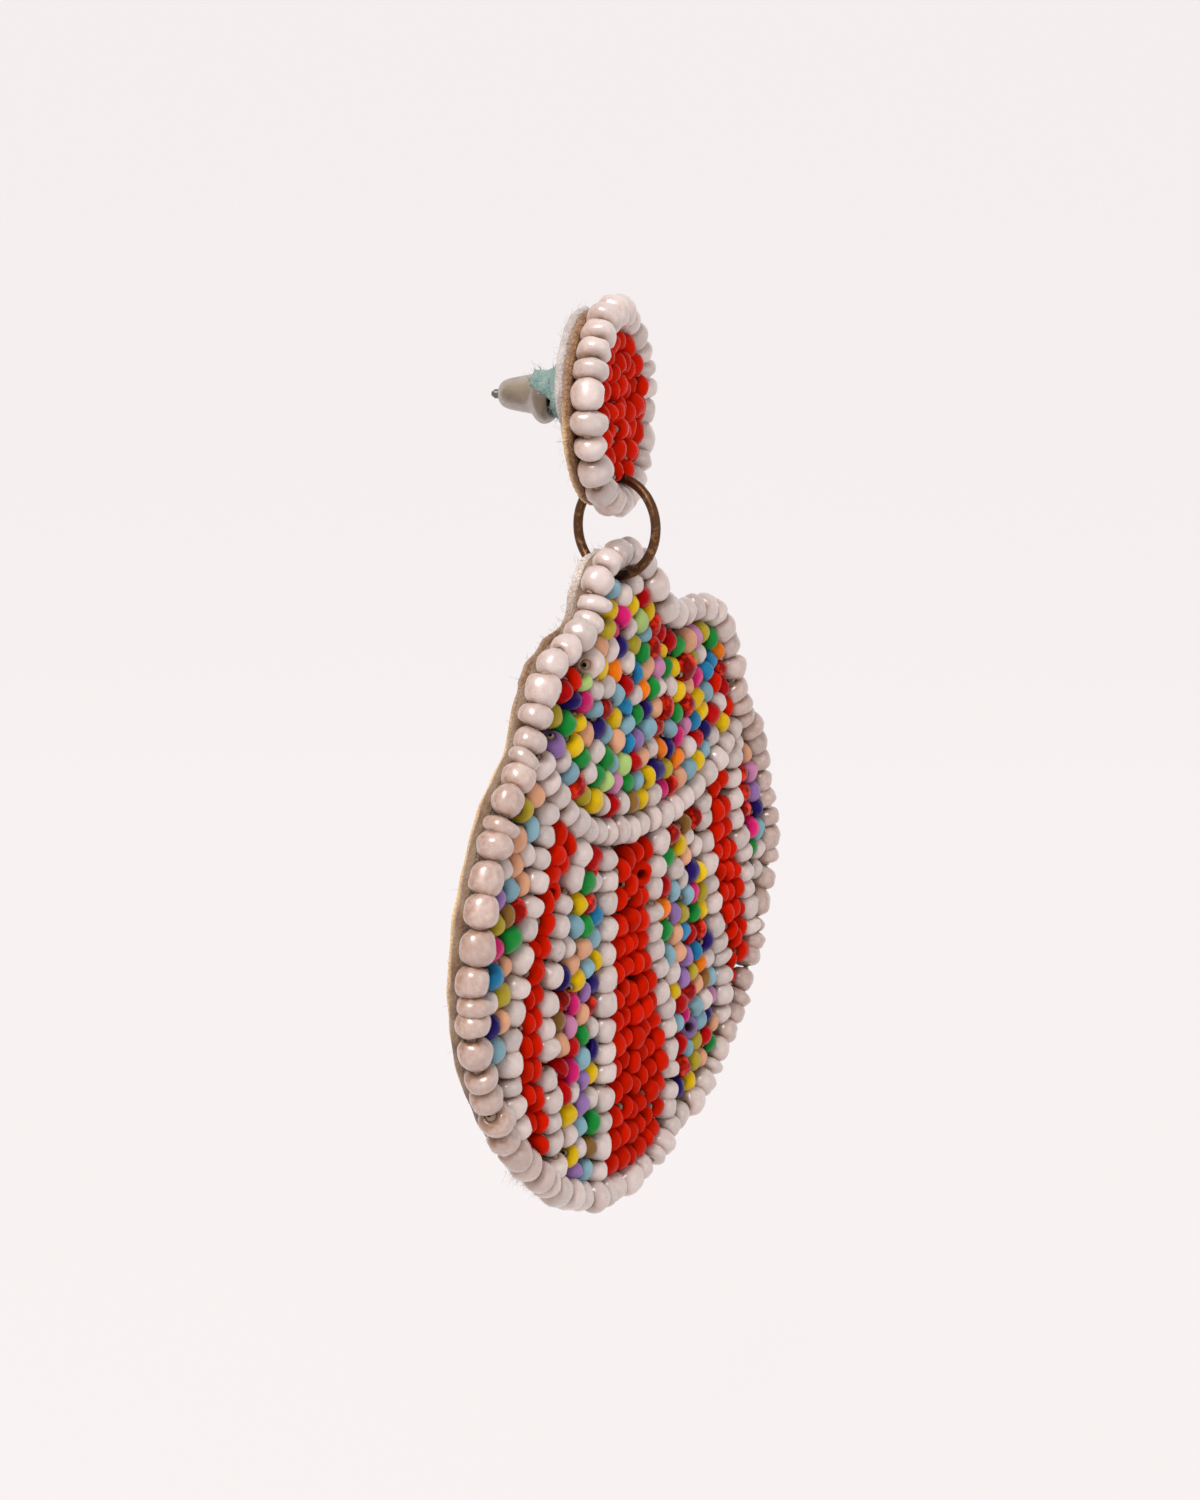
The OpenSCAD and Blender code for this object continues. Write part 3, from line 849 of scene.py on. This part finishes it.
def panel_field():
    """Rows of beads that follow the arc."""
    field = Field(ACCENTS["panel"])
    fine, ways = along(arc, np.linspace(0, path_lengths(arc)[-1], 400))
    up = np.stack([-ways[:, 1], ways[:, 0]], 1)
    pitch = 2 * FIELD_R * 0.99
    for k in range(PANEL_ROWS):
        shift = LINE_R + FIELD_R + k * pitch
        curve = fine + up * shift
        free = inside(curve, edge) & (distance(curve, edge_loop)[0] > EDGE_R + 0.9)
        free &= (distance(curve, arc)[0] > shift - 0.15) & clear_of_hole(curve)
        where = np.nonzero(free)[0]
        if len(where) < 5:
            continue
        run = curve[where[0] : where[-1] + 1]
        at, lengths, radii = bead_string(0, path_lengths(run)[-1], FIELD_R, FIELD_LENGTH, FIELD_SPREAD)
        for p, way, length, r, c in zip(*along(run, at), lengths, radii, mixed_colours(len(at))):
            field.add_turned(p + rng.normal(0, 0.18, 2), way, 14 + 4 * k, length / 2, r, c)

    def in_panel(p):
        return inside(p, edge) & clear_of_hole(p) & (p[:, 1] > arc_height(p[:, 0]))

    walls = [(edge_loop, EDGE_R), (arc, LINE_R), (circle((0, 0), HOLE_R, 24, closed=True), 0.1)]
    keep = field.fit(walls, ((-20, -26), (28, 3)), in_panel, FIELD_R, mixed_colours)
    keep &= clear_of_hole(field.at, 1.0)
    beadwork("panel_field", field.beads(keep, FELT_FRONT))


STUD_PITCH = 2.0
# Where the ring's wire passes the stud's fill: x from the ring's joint, z, and the room it needs
WIRE_X, WIRE_Z, WIRE_ROOM = 0.15, -8.3, 1.75


def stud_fill():
    """Nearly level rows of red beads, with room for the ring's wire."""
    field = Field()
    inner = STUD_RIM_R - 1.55
    middle = STUD_MIDDLE[[0, 2]]
    z = inner - 1.0
    while z > -inner + 0.7:
        half = math.sqrt(inner**2 - z**2) - 0.2
        if half > 0.8:
            rise = rng.normal(0, 0.4)
            ends = middle + [-half, z - rise], middle + [half, z + rise]
            field.row(*ends, STUD_FILL_R, FIELD_LENGTH, coral_colours(1), tilt=80)
        z -= STUD_PITCH

    def in_rim(p):
        return np.linalg.norm(p - middle, axis=1) < STUD_RIM_R

    walls = [(circle(middle, STUD_RIM_R, 90, closed=True), 1.5)]
    keep = field.fit(walls, (middle - 8, middle + 8), in_rim, 1.1, coral_colours)
    wire = np.array([ring_joint["pos_m"][0] / MM + WIRE_X, WIRE_Z])
    keep &= np.linalg.norm(field.at - wire, axis=1) > WIRE_ROOM
    front = box_of("stud_rim")[1][1]
    beadwork("stud_fill", field.beads(keep, front, relief=0.7), STUD)


# Felt, leather and silicone


def edge_profile(y_front, y_back, rounding):
    """(inset, depth) of a sheet's rounded edge, from its front to its back."""
    a = np.radians([0, 30, 60, 90])
    r = min(rounding, (y_back - y_front) / 2)
    front = np.stack([r * (1 - np.sin(a)), y_front + r * (1 - np.cos(a))], 1)
    back = [0, y_front + y_back] + front[::-1] * [1, -1]
    return [*front, (0, (y_front + y_back) / 2), *back]


HOLE_POINTS = 20
LUMPS = 0.05


def flat_net(rim, hole, cell):
    """Points and triangles that fill a rim, and which point each one of the rim and the hole became.

    hole is None or the middle and radius of a hole, which gets HOLE_POINTS points round it."""
    grid = grid_points(rim.min(0), rim.max(0), cell)
    grid = grid + rng.uniform(-0.2, 0.2, grid.shape) * cell
    grid = grid[inside(grid, rim)]
    grid = grid[distance(grid, np.vstack([rim, rim[:1]]))[0] > cell * 0.5]
    loops = [(i, (i + 1) % len(rim)) for i in range(len(rim))]
    if hole:
        centre, radius = hole
        grid = grid[np.linalg.norm(grid - centre, axis=1) > radius + cell * 0.4]
        grid = np.concatenate([circle(*hole, HOLE_POINTS), grid])
        loops += [(len(rim) + i, len(rim) + (i + 1) % HOLE_POINTS) for i in range(HOLE_POINTS)]
    flat = [Vector(p) for p in np.concatenate([rim, grid])]
    made, _, triangles, origin, _, _ = delaunay_2d_cdt(flat, loops, [], 0, 1e-7)
    made = np.array([tuple(p) for p in made])
    middles = np.array([made[list(t)].mean(0) for t in triangles])
    good = inside(middles, rim)
    if hole:
        good &= np.linalg.norm(middles - centre, axis=1) > radius * 0.98
    became = {source: n for n, sources in enumerate(origin) for source in sources}
    return made, [list(t) for t, g in zip(triangles, good) if g], became


def capped_sheet(outline, y_front, y_back, rounding, cell, hole=None):
    """A flat sheet with rounded edges, from an outline in x and z.

    Gives its vertices, its faces, and for each vertex 1 on the cut edge and 0 on the flat sides."""
    profile = edge_profile(y_front, y_back, rounding)
    normals = inward(outline)
    count = len(outline)
    last = (len(profile) - 1) * count
    points = np.concatenate([at_depth(outline + inset * normals, y) for inset, y in profile])
    i = np.arange(last)
    j = i - i % count + (i + 1) % count
    faces = np.stack([i, j, j + count, i + count], 1).tolist()
    net, triangles, became = flat_net(outline + profile[0][0] * normals, hole, cell)
    hole_rings = []
    for y, ring_start, order in ((y_front, 0, 1), (y_back, last, -1)):
        index = np.full(len(net), -1)
        for k in range(count):
            index[became[k]] = ring_start + k
        fresh = np.nonzero(index < 0)[0]
        index[fresh] = len(points) + np.arange(len(fresh))
        points = np.concatenate([points, at_depth(net[fresh], y)])
        faces += [index[t].tolist()[::order] for t in triangles]
        if hole:
            hole_rings.append(index[[became[count + k] for k in range(HOLE_POINTS)]])
    if hole:
        front, back = hole_rings
        faces += np.stack([front, back, np.roll(back, -1), np.roll(front, -1)], 1).tolist()
    for _ in range(5):
        points[:, 1] += np.sin(points @ random_wave(3, 11) + rng.uniform(0, 6)) * LUMPS / 3
    cut = np.zeros(len(points))
    cut[count:last] = 1
    return points, faces, cut


def uneven(outline, amount, cell=0.45):
    """An outline resampled evenly and cut a little unevenly."""
    loop = np.vstack([outline, outline[:1]])
    s = path_lengths(loop)
    count = int(s[-1] / cell)
    at = np.arange(count) * s[-1] / count
    p = np.stack([np.interp(at, s, loop[:, k]) for k in (0, 1)], 1)
    push = np.zeros(count)
    for _ in range(7):
        waves = rng.integers(6, 60)
        push += np.sin(2 * np.pi * waves * np.arange(count) / count + rng.uniform(0, 6)) * amount / 3
    return p + inward(p) * push[:, None]


# On the left of the neck: heights, and how far the felt's edge lies inside the middles of the edge beads
NECK_INSET = [
    (2, 0.3), (0.6, 0.6), (-0.6, 1.1), (-1.6, 1.15), (-3, 1.15), (-4, 0.8), (-5, 0.1), (-5.6, 0),
    (-6.4, 0.6), (-7.2, 1.0), (-8.5, 0.9),
]


def base_outline(extra=0.0, inset=BASE_INSET):
    """The felt's and leather's outline: under the middle of the edge beads at the neck, inset below.

    On the left of the neck it is cut closer, and it stands out in the corner below."""
    x, z = edge.T
    inset = (inset + extra) * np.clip(z / NECK_LOW, 0, 1) * np.interp(x, [1, 9], [1, 0.3])
    heights, insets = np.array(NECK_INSET[::-1]).T
    left = np.interp(z, heights, insets) - 0.5 + extra
    inset = np.where((x < 0) & (z > heights[0]), np.maximum(left, 0), inset)
    return edge + inward(edge) * inset[:, None]


def felt_material(name, colour, dark, stain=None):
    """Felt: matted fibres, patches of dirt, and on a cut edge the dirt of wear with painted shade, the
    shaded band of its thickness.
    """
    s = Shader(name, Roughness=0.95, Sheen_Weight=0.3, Sheen_Roughness=0.5)
    fibre = s.noise(0.12, 6, 0.7)
    cloud = s.noise(1.6, 3)
    body = s.mix(s.ramp(s.plus(fibre, cloud), 0.75, 1.25), srgb(*dark), srgb(*colour))
    # Dirt and painted shade: patches of dirt, and the cut edge painted darker as the shaded band of the
    # felt's thickness
    if stain:
        dirt_and_shade = s.plus(s.ramp(s.noise(2.2, 4), 0.45, 0.75, 0, 0.6), s.times(s.attribute("cut"), 0.7))
        body = s.mix(dirt_and_shade, body, srgb(*stain))
    s.set("Base Color", body)
    s.bump(s.plus(s.noise(0.18, 6, 0.7), s.cells(0.3)), 0.12)
    return s.material


def leather_material(name, back_at, to_back, golden, pale, white_above=None):
    """Vegetable-tanned leather: tan grain with darker pores, and a brown cut edge, golden at its back; its
    dark brown away from the back is painted shade next to the felt and the beads.

    back_at is the depth of its back in millimetres, to_back the direction in which it is measured. golden
    gives the heights between which the golden edge fades in, white_above those between which the cut edge
    turns white, and pale how light its brown is at the back."""
    s = Shader(name, Roughness=0.6)
    tone = s.plus(s.times(s.noise(9, 4, 0.6), 0.6), s.times(s.noise(0.3, 6, 0.7), 0.5))
    body = s.mix(s.ramp(tone, 0.35, 0.75), srgb(134, 92, 56), srgb(178, 134, 88))
    grain = s.cells(0.45, "DISTANCE_TO_EDGE")
    body = s.mix(s.ramp(grain, 0.0, 0.12, 0.5, 0), body, srgb(96, 62, 36))
    dot = s.add("ShaderNodeVectorMath", {0: s.place, 1: tuple(to_back)}, operation="DOT_PRODUCT")
    fray = s.times(s.noise(1.2, 4), 0.4 * MM)
    depth = s.ramp(s.plus(dot.outputs["Value"], fray), (back_at - 0.35) * MM, (back_at + 0.1) * MM)
    height = s.add("ShaderNodeSeparateXYZ", {0: s.place}).outputs["Z"]
    height = s.plus(height, s.times(s.noise(1.5, 4), 2 * MM))
    # Painted shade: the cut edge is dark brown next to the felt and the beads, and paler only near its back
    brown = s.mix(s.ramp(s.noise(0.5, 4), 0.35, 0.65), srgb(108, 72, 42), srgb(142, 102, 70))
    brown = s.mix(s.times(depth, pale), brown, srgb(188, 168, 150))
    side = s.mix(s.times(depth, s.ramp(height, *golden)), brown, srgb(222, 184, 134))
    body = s.mix(s.attribute("cut"), body, side)
    if white_above:
        nap = s.ramp(height, *white_above)
        body = s.mix(s.times(nap, s.attribute("cut")), body, srgb(212, 198, 186))
    s.set("Base Color", body)
    s.roughen(0.8, 0.5, 0.75)
    s.bump(s.plus(s.ramp(grain, 0, 0.15), s.times(s.noise(0.15, 5), 0.6)), 0.06)
    return s.material


def metal_material(name, colour, worn, rough, wear_at=0.62):
    s = Shader(name, Metallic=1.0)
    wear = s.ramp(s.noise(0.7, 5, 0.65), wear_at, wear_at + 0.12)
    s.set("Base Color", s.mix(wear, srgb(*colour), srgb(*worn)))
    s.roughen(0.3, rough - 0.08, rough + 0.15)
    s.bump(s.noise(0.2, 5), 0.01)
    return s.material


def silicone_material():
    s = Shader(
        "nut_silicone", IOR=1.42, Transmission_Weight=0.25, Subsurface_Weight=0.2, Subsurface_Scale=1.0 * MM
    )
    cloud = s.ramp(s.noise(1.8, 4), 0.35, 0.65)
    s.set("Base Color", s.mix(cloud, srgb(112, 96, 84), srgb(142, 127, 106)))
    s.roughen(0.6, 0.28, 0.45)
    s.bump(s.noise(0.5, 4), 0.02)
    return s.material


MATERIALS = {
    "drop_leather": leather_material(
        "drop_leather", DROP.origin @ DROP.axes[1] + LEATHER_BACK, DROP.axes[1],
        golden=(-0.024, -0.03), pale=0.6, white_above=(-0.02, -0.015),
    ),
    "stud_leather": leather_material(
        "stud_leather", STUD_LEATHER_BACK, STUD.axes[1], golden=(0.001, -0.002), pale=0.3
    ),
    # The cream felt's last colour is that of dirt and painted shade on its cut edge
    "cream_felt": felt_material("cream_felt", (206, 186, 162), (150, 122, 92), (112, 80, 54)),
    "white_felt": felt_material("white_felt", (206, 194, 190), (172, 158, 150)),
    "teal_felt": felt_material("teal_felt", (142, 166, 158), (84, 112, 106)),
    "thread": felt_material("thread", (176, 150, 128), (124, 96, 72)),
    "steel": metal_material("post_steel", (112, 108, 104), (170, 166, 160), 0.35),
    "bronze": metal_material("dark_bronze", (94, 64, 44), (140, 104, 74), 0.4, 0.52),
    "silicone": silicone_material(),
}


def sheet_piece(name, place, sheet, material, node):
    points, faces, cut = sheet
    made = make_object(name, place.points(points), faces, [MATERIALS[material]], attributes={"cut": cut})
    finish_piece(made, place.body, node)


def drop_leather():
    outline = uneven(base_outline(0.5), 0.14)
    sheet = capped_sheet(outline, LEATHER_FRONT + 0.02, LEATHER_BACK, 0.25, 1.0, ((0, 0), HOLE_R))
    sheet_piece("drop_leather_sheet", DROP, sheet, "drop_leather", "drop_leather")


def drop_felt():
    outline = uneven(base_outline(0.2, -0.1), 0.1)
    sheet = capped_sheet(outline, FELT_FRONT, LEATHER_FRONT, 0.35, 1.0, ((0, 0), HOLE_R))
    sheet_piece("drop_felt_sheet", DROP, sheet, "cream_felt", "drop_felt")


def disc_outline(centre, radius):
    """A circle that runs the way a sheet's outline must, from its top."""
    return centre + circle((0, 0), radius, 96)[:, ::-1]


def stud_hole():
    """Where the ring passes the stud's leather: (middle, radius)."""
    x, y, z = np.array(ring_joint["pos_m"]) / MM
    axis = unit(ring_joint["axis"])
    low, high = box_of("jump_ring")
    ring_r = (high[2] - low[2]) / 2 - WIRE_R
    back = sum(box_of("stud_leather"))[1] / 2 - y
    side = -back * axis[1] / axis[0]
    return (x + side, z + math.sqrt(ring_r**2 - back**2 - side**2)), HOLE_R


def stud_leather():
    low, high = box_of("stud_leather")
    middle = (low + high) / 2
    outline = uneven(disc_outline(middle[[0, 2]], (high[0] - low[0]) / 2 - 0.15), 0.12)
    sheet = capped_sheet(outline, low[1], STUD_LEATHER_BACK, 0.25, 0.8, stud_hole())
    sheet_piece("stud_leather_disc", STUD, sheet, "stud_leather", "stud_leather")


def felt_patch():
    """Felt at the stud's back: nearly round, cut closer at its lower left, and slightly domed."""
    low, high = box_of("felt_patch")
    outline = disc_outline((0, 0), high[0])
    x, z = outline.T
    closer = np.clip(-z / 3, 0, 1) * np.clip(-x / 4, 0, 1)
    outline = uneven(outline * (1 - 0.17 * closer)[:, None], 0.12)
    points, faces, cut = capped_sheet(outline, low[1] - 0.2, low[1] + 0.65, 0.4, 0.7)
    radius = np.hypot(points[:, 0], points[:, 2])
    dome = 0.3 * np.sqrt(np.clip(1 - (radius / high[0]) ** 2, 0, 1))
    points[:, 1] += np.where(points[:, 1] > low[1] + 0.4, dome, 0)
    sheet_piece("felt_patch_disc", STUD, (points, faces, cut), "white_felt", "felt_patch")


# Nut, collar and loose fibres


def lathe(profile, count, shift):
    """Vertices and faces of a closed profile of (radius, y), turned about the post and then shifted."""
    a = around(count)[:, None]
    radius, y = shift(a, *(profile.T[:, None] + 0 * a))
    points = np.stack([radius * np.sin(a), y, radius * np.cos(a)], -1)
    return points.reshape(-1, 3), tube_faces(count, len(profile), closed=True)


def ear_nut():
    """Silicone nut: a bullet with a thin flared skirt, which sags more below than above."""
    outline = [
        [0.47, 6.93], [0.8, 6.95], [1.12, 6.7], [1.36, 6.2], [1.52, 5.5], [1.66, 4.7], [1.78, 4.0],
        [2.0, 3.6], [2.4, 3.3], [2.68, 2.95], [2.72, 2.6], [2.55, 2.2], [2.2, 1.92], [1.95, 1.95],
        [1.75, 2.2], [1.5, 2.6], [0.95, 2.9], [0.5, 3.0], [0.47, 3.6], [0.47, 5.2],
    ]
    profile = closed_curve(outline, 3)

    def sag(a, radius, y):
        """Cuts the skirt off above and lets it hang in waves below."""
        low = 0.5 - 0.5 * np.cos(a)
        skirt = np.clip((4.1 - y) / 0.6, 0, 1)
        wave = 0.05 * np.sin(3 * a + 1) * skirt
        radius = np.minimum(radius, 1.8 + np.maximum(radius - 1.8, 0) * low**1.3 + wave * low)
        return radius, y + 0.25 * skirt * low * np.sin(2 * a + 0.5) * 0.4

    points, faces = lathe(profile, 48, sag)
    made = make_object("ear_nut_bullet", STUD.points(points), faces, [MATERIALS["silicone"]])
    finish_piece(made, "nut", "ear_nut")


def teal_collar():
    """Scrap of teal felt round the post, which rises on the patch and covers the nut's upper skirt."""
    count = 72
    profile = np.array([
        [3.3, -0.35], [3.0, 0.1], [2.6, 0.5], [2.36, 1.0], [2.26, 1.5], [2.2, 2.0], [2.16, 2.5], [2.1, 2.9],
        [1.92, 2.85], [1.92, 2.3], [1.92, 1.8], [1.7, 1.4], [1.6, 0.8], [1.7, 0.3], [2.3, 0.0], [2.9, -0.3],
    ])

    def tear(a, radius, y):
        """Tears the far end unevenly, draws out a tongue on the patch at the top, and folds the rest."""
        up = np.cos(a)
        rough = 0.12 * np.sin(5 * a + 1) + 0.08 * np.sin(11 * a) + 0.05 * np.sin(23 * a + 2)
        reach = 1.5 + 2.1 / (1 + np.exp(-(up - 0.1) * 6)) + rough
        y = np.where(y > 1.2, 1.2 + (y - 1.2) * (reach - 1.2) / 1.7, y)
        tongue = np.clip((radius - 2.2) / 1.0, 0, 1)
        radius = radius + tongue * (3.4 * np.exp(-((1 - up) * 9)) + rough * 1.5)
        y = y - tongue * 0.13 * (radius > 3.6)
        fold = 0.07 * np.sin(7 * a + y * 2) * np.clip(y, 0, 1)
        return radius + fold * (radius > 2), y

    points, faces = lathe(profile, count, tear)
    made = make_object("teal_felt_scrap", STUD.points(points), faces, [MATERIALS["teal_felt"]])
    grid = points.reshape(count, -1, 3)
    roots = np.concatenate([grid[:, k] for k in (0, 2, 4, 6, 7)])
    out = unit(roots * [1, 0.2, 1] + rng.normal(0, 0.5, roots.shape))
    pick = rng.integers(0, len(roots), 260)
    fuzz("teal_fuzz", STUD, roots[pick], out[pick], 0.5, "teal_felt", thick=0.02)
    finish_piece(made, "stud", "teal_collar")


def fuzz(name, place, roots, ways, length, felt, thick=0.016):
    """Loose curved fibres that stand out from felt."""
    steps, sides = 5, 3
    a = around(sides)[:, None]
    t = np.linspace(0, 1, steps)[:, None]
    width = thick * (1 - 0.7 * t)
    points, faces = [], []
    for n, (root, way) in enumerate(zip(roots, ways)):
        bend = rng.normal(0, 0.6, 3)
        reach = length * rng.uniform(0.3, 1.3)
        line = root + reach * (way * t + bend * t**2 * 0.6)
        axes = axes_of(line[-1] - line[0])
        ring = np.cos(a) * axes[0] + np.sin(a) * axes[1]
        points.append((line[None] + ring[:, None] * width[None]).reshape(-1, 3))
        faces.append(tube_faces(sides, steps, closed=False) + n * sides * steps)
    points, faces = np.concatenate(points), np.concatenate(faces)
    made = make_object(name, place.points(points), faces, [MATERIALS[felt]])
    finish_piece(made, place.body)


def edge_fuzz():
    """Fibres at the felt's cut edge: many at the neck and where the lower left is frayed."""
    outline = base_outline(0.3)
    out = -inward(edge)
    x, z = outline.T
    weight = 0.25 + 2.5 * ((z > -7) & (x < 0)) + 3.5 * ((z < -50) & (x < -4))
    frayed = np.nonzero((z < -52) & (x < -8) & (x > -15))[0]
    strands = [
        ("drop_fuzz", rng.choice(len(outline), 700, p=weight / weight.sum()), -0.15, 0.5),
        ("frayed_fuzz", rng.choice(frayed, 220), 1.0, 0.75),
    ]
    for name, where, further, length in strands:
        count = len(where)
        root = outline[where] + rng.normal(0, 0.25, (count, 2)) + out[where] * further
        roots = at_depth(root, rng.uniform(FELT_FRONT + 0.1, LEATHER_BACK - 0.1, count))
        ways = unit(at_depth(out[where], rng.normal(0.3, 0.6, count)))
        fuzz(name, DROP, roots, ways, length, "cream_felt")
    count, radius = 160, box_of("felt_patch")[1][0] - 0.15
    a = rng.uniform(0, 2 * np.pi, count)
    spokes = np.stack([np.sin(a), np.cos(a)], 1)
    roots = at_depth(spokes * radius, rng.uniform(-1.2, -0.5, count))
    ways = unit(at_depth(spokes, 0) + rng.normal(0, 0.4, (count, 3)))
    fuzz("stud_fuzz", STUD, roots, ways, 0.5, "white_felt")


PALE = (1, 0.945, 0.945, 1)


def stage():
    """A pale floor that sweeps up into a wall behind the object."""
    floor_z, top, front, back, half, bend = -130, 2200, -2100, 900, 2500, 500
    profile = [(front, floor_z)]
    for a in np.linspace(0, math.pi / 2, 13):
        profile.append((back - bend + bend * math.sin(a), floor_z + bend * (1 - math.cos(a))))
    profile.append((back, top))
    points = [(y, x, z) for x in (-half, half) for y, z in profile]
    count = len(profile)
    faces = [(i, i + 1, count + i + 1, count + i) for i in range(count - 1)]
    s = Shader("pale_backdrop", Roughness=0.9, Emission_Color=PALE, Emission_Strength=0.84)
    s.set("Base Color", s.mix(s.noise(400, 2), srgb(69, 67, 67), srgb(72, 70, 70)))
    turn = Matrix.Rotation(CAMERA_TURN, 3, "Z")
    make_object("backdrop", [turn @ Vector(p) * MM for p in points], faces, [s.material])


def camera():
    """The photograph's camera: placed from a point of the drop by distance and by two offsets.

    Gives its directions forward and to the right."""
    c, s = math.cos(CAMERA_TURN), math.sin(CAMERA_TURN)
    forward = Vector((c * math.cos(CAMERA_TILT), s * math.cos(CAMERA_TILT), -math.sin(CAMERA_TILT)))
    right = Vector((s, -c, 0))
    up = right.cross(forward)
    data = bpy.data.cameras.new("camera")
    data.sensor_width = 36
    data.lens = data.sensor_width * FOCAL_PX / IMAGE_H
    data.clip_start = 0.01
    data.clip_end = 20
    data.dof.use_dof = False
    made = add_object("camera", data)
    aim = Vector(DROP.points([AIM_AT])[0])
    at = aim - (forward * AIM_DISTANCE + right * AIM_RIGHT + up * AIM_UP) * MM
    made.matrix_world = Matrix.Translation(at) @ Matrix((right, up, -forward)).transposed().to_4x4()
    bpy.context.scene.camera = made
    return forward, right


def light(name, at, target, size, watts, colour):
    data = bpy.data.lights.new(name, "AREA")
    data.shape = "DISK"
    data.size = size
    data.energy = watts
    data.color = colour
    made = add_object(name, data)
    made.location = at
    made.rotation_mode = "QUATERNION"
    made.rotation_quaternion = (Vector(target) - Vector(at)).to_track_quat("-Z", "Y")


def lights(forward, right):
    """A key light above and to the left of the camera, and a weak one at its right."""
    middle = Vector((0, 0, -0.035))
    level = Vector((forward.x, forward.y, 0)).normalized()
    key = middle - level * 0.36 - right * 0.16 + Vector((0, 0, 0.46))
    fill = middle - level * 0.35 + right * 0.5 + Vector((0, 0, 0.1))
    light("key", key, middle, 0.3, 3.5, (1, 0.99, 0.99))
    light("fill", fill, middle, 0.5, 0.5, (1, 0.97, 0.95))


def surroundings():
    """Soft light from all sides, in which the camera itself sees the backdrop's colour."""
    world = bpy.data.worlds.new("world")
    bpy.context.scene.world = world
    world.use_nodes = True
    nodes, links = world.node_tree.nodes, world.node_tree.links
    glow = nodes["Background"]
    seen = nodes.new("ShaderNodeBackground")
    mix = nodes.new("ShaderNodeMixShader")
    for sky, colour, strength in ((glow, (1, 0.972, 0.974, 1), 0.58), (seen, PALE, 0.912)):
        sky.inputs["Color"].default_value = colour
        sky.inputs["Strength"].default_value = strength
    links.new(nodes.new("ShaderNodeLightPath").outputs["Is Camera Ray"], mix.inputs[0])
    links.new(glow.outputs[0], mix.inputs[1])
    links.new(seen.outputs[0], mix.inputs[2])
    links.new(mix.outputs[0], nodes["World Output"].inputs["Surface"])
    bpy.context.scene.view_settings.view_transform = "Standard"


def dress_nodes():
    """Finish of the frame's own nodes that stay."""
    for node, material in (("ear_post", "steel"), ("jump_ring", "bronze")):
        slots = frame["nodes"][node].data.materials
        slots.clear()
        slots.append(MATERIALS[material])


lights(*camera())
surroundings()
stage()
dress_nodes()
drop_rim()
panel_arc()
for number in range(len(LINES)):
    white_line(number)
stud_rim()
stud_fill()
panel_field()
for number in range(len(BOUNDS) - 1):
    stripe(number)
drop_leather()
drop_felt()
stud_leather()
felt_patch()
ear_nut()
teal_collar()
edge_fuzz()
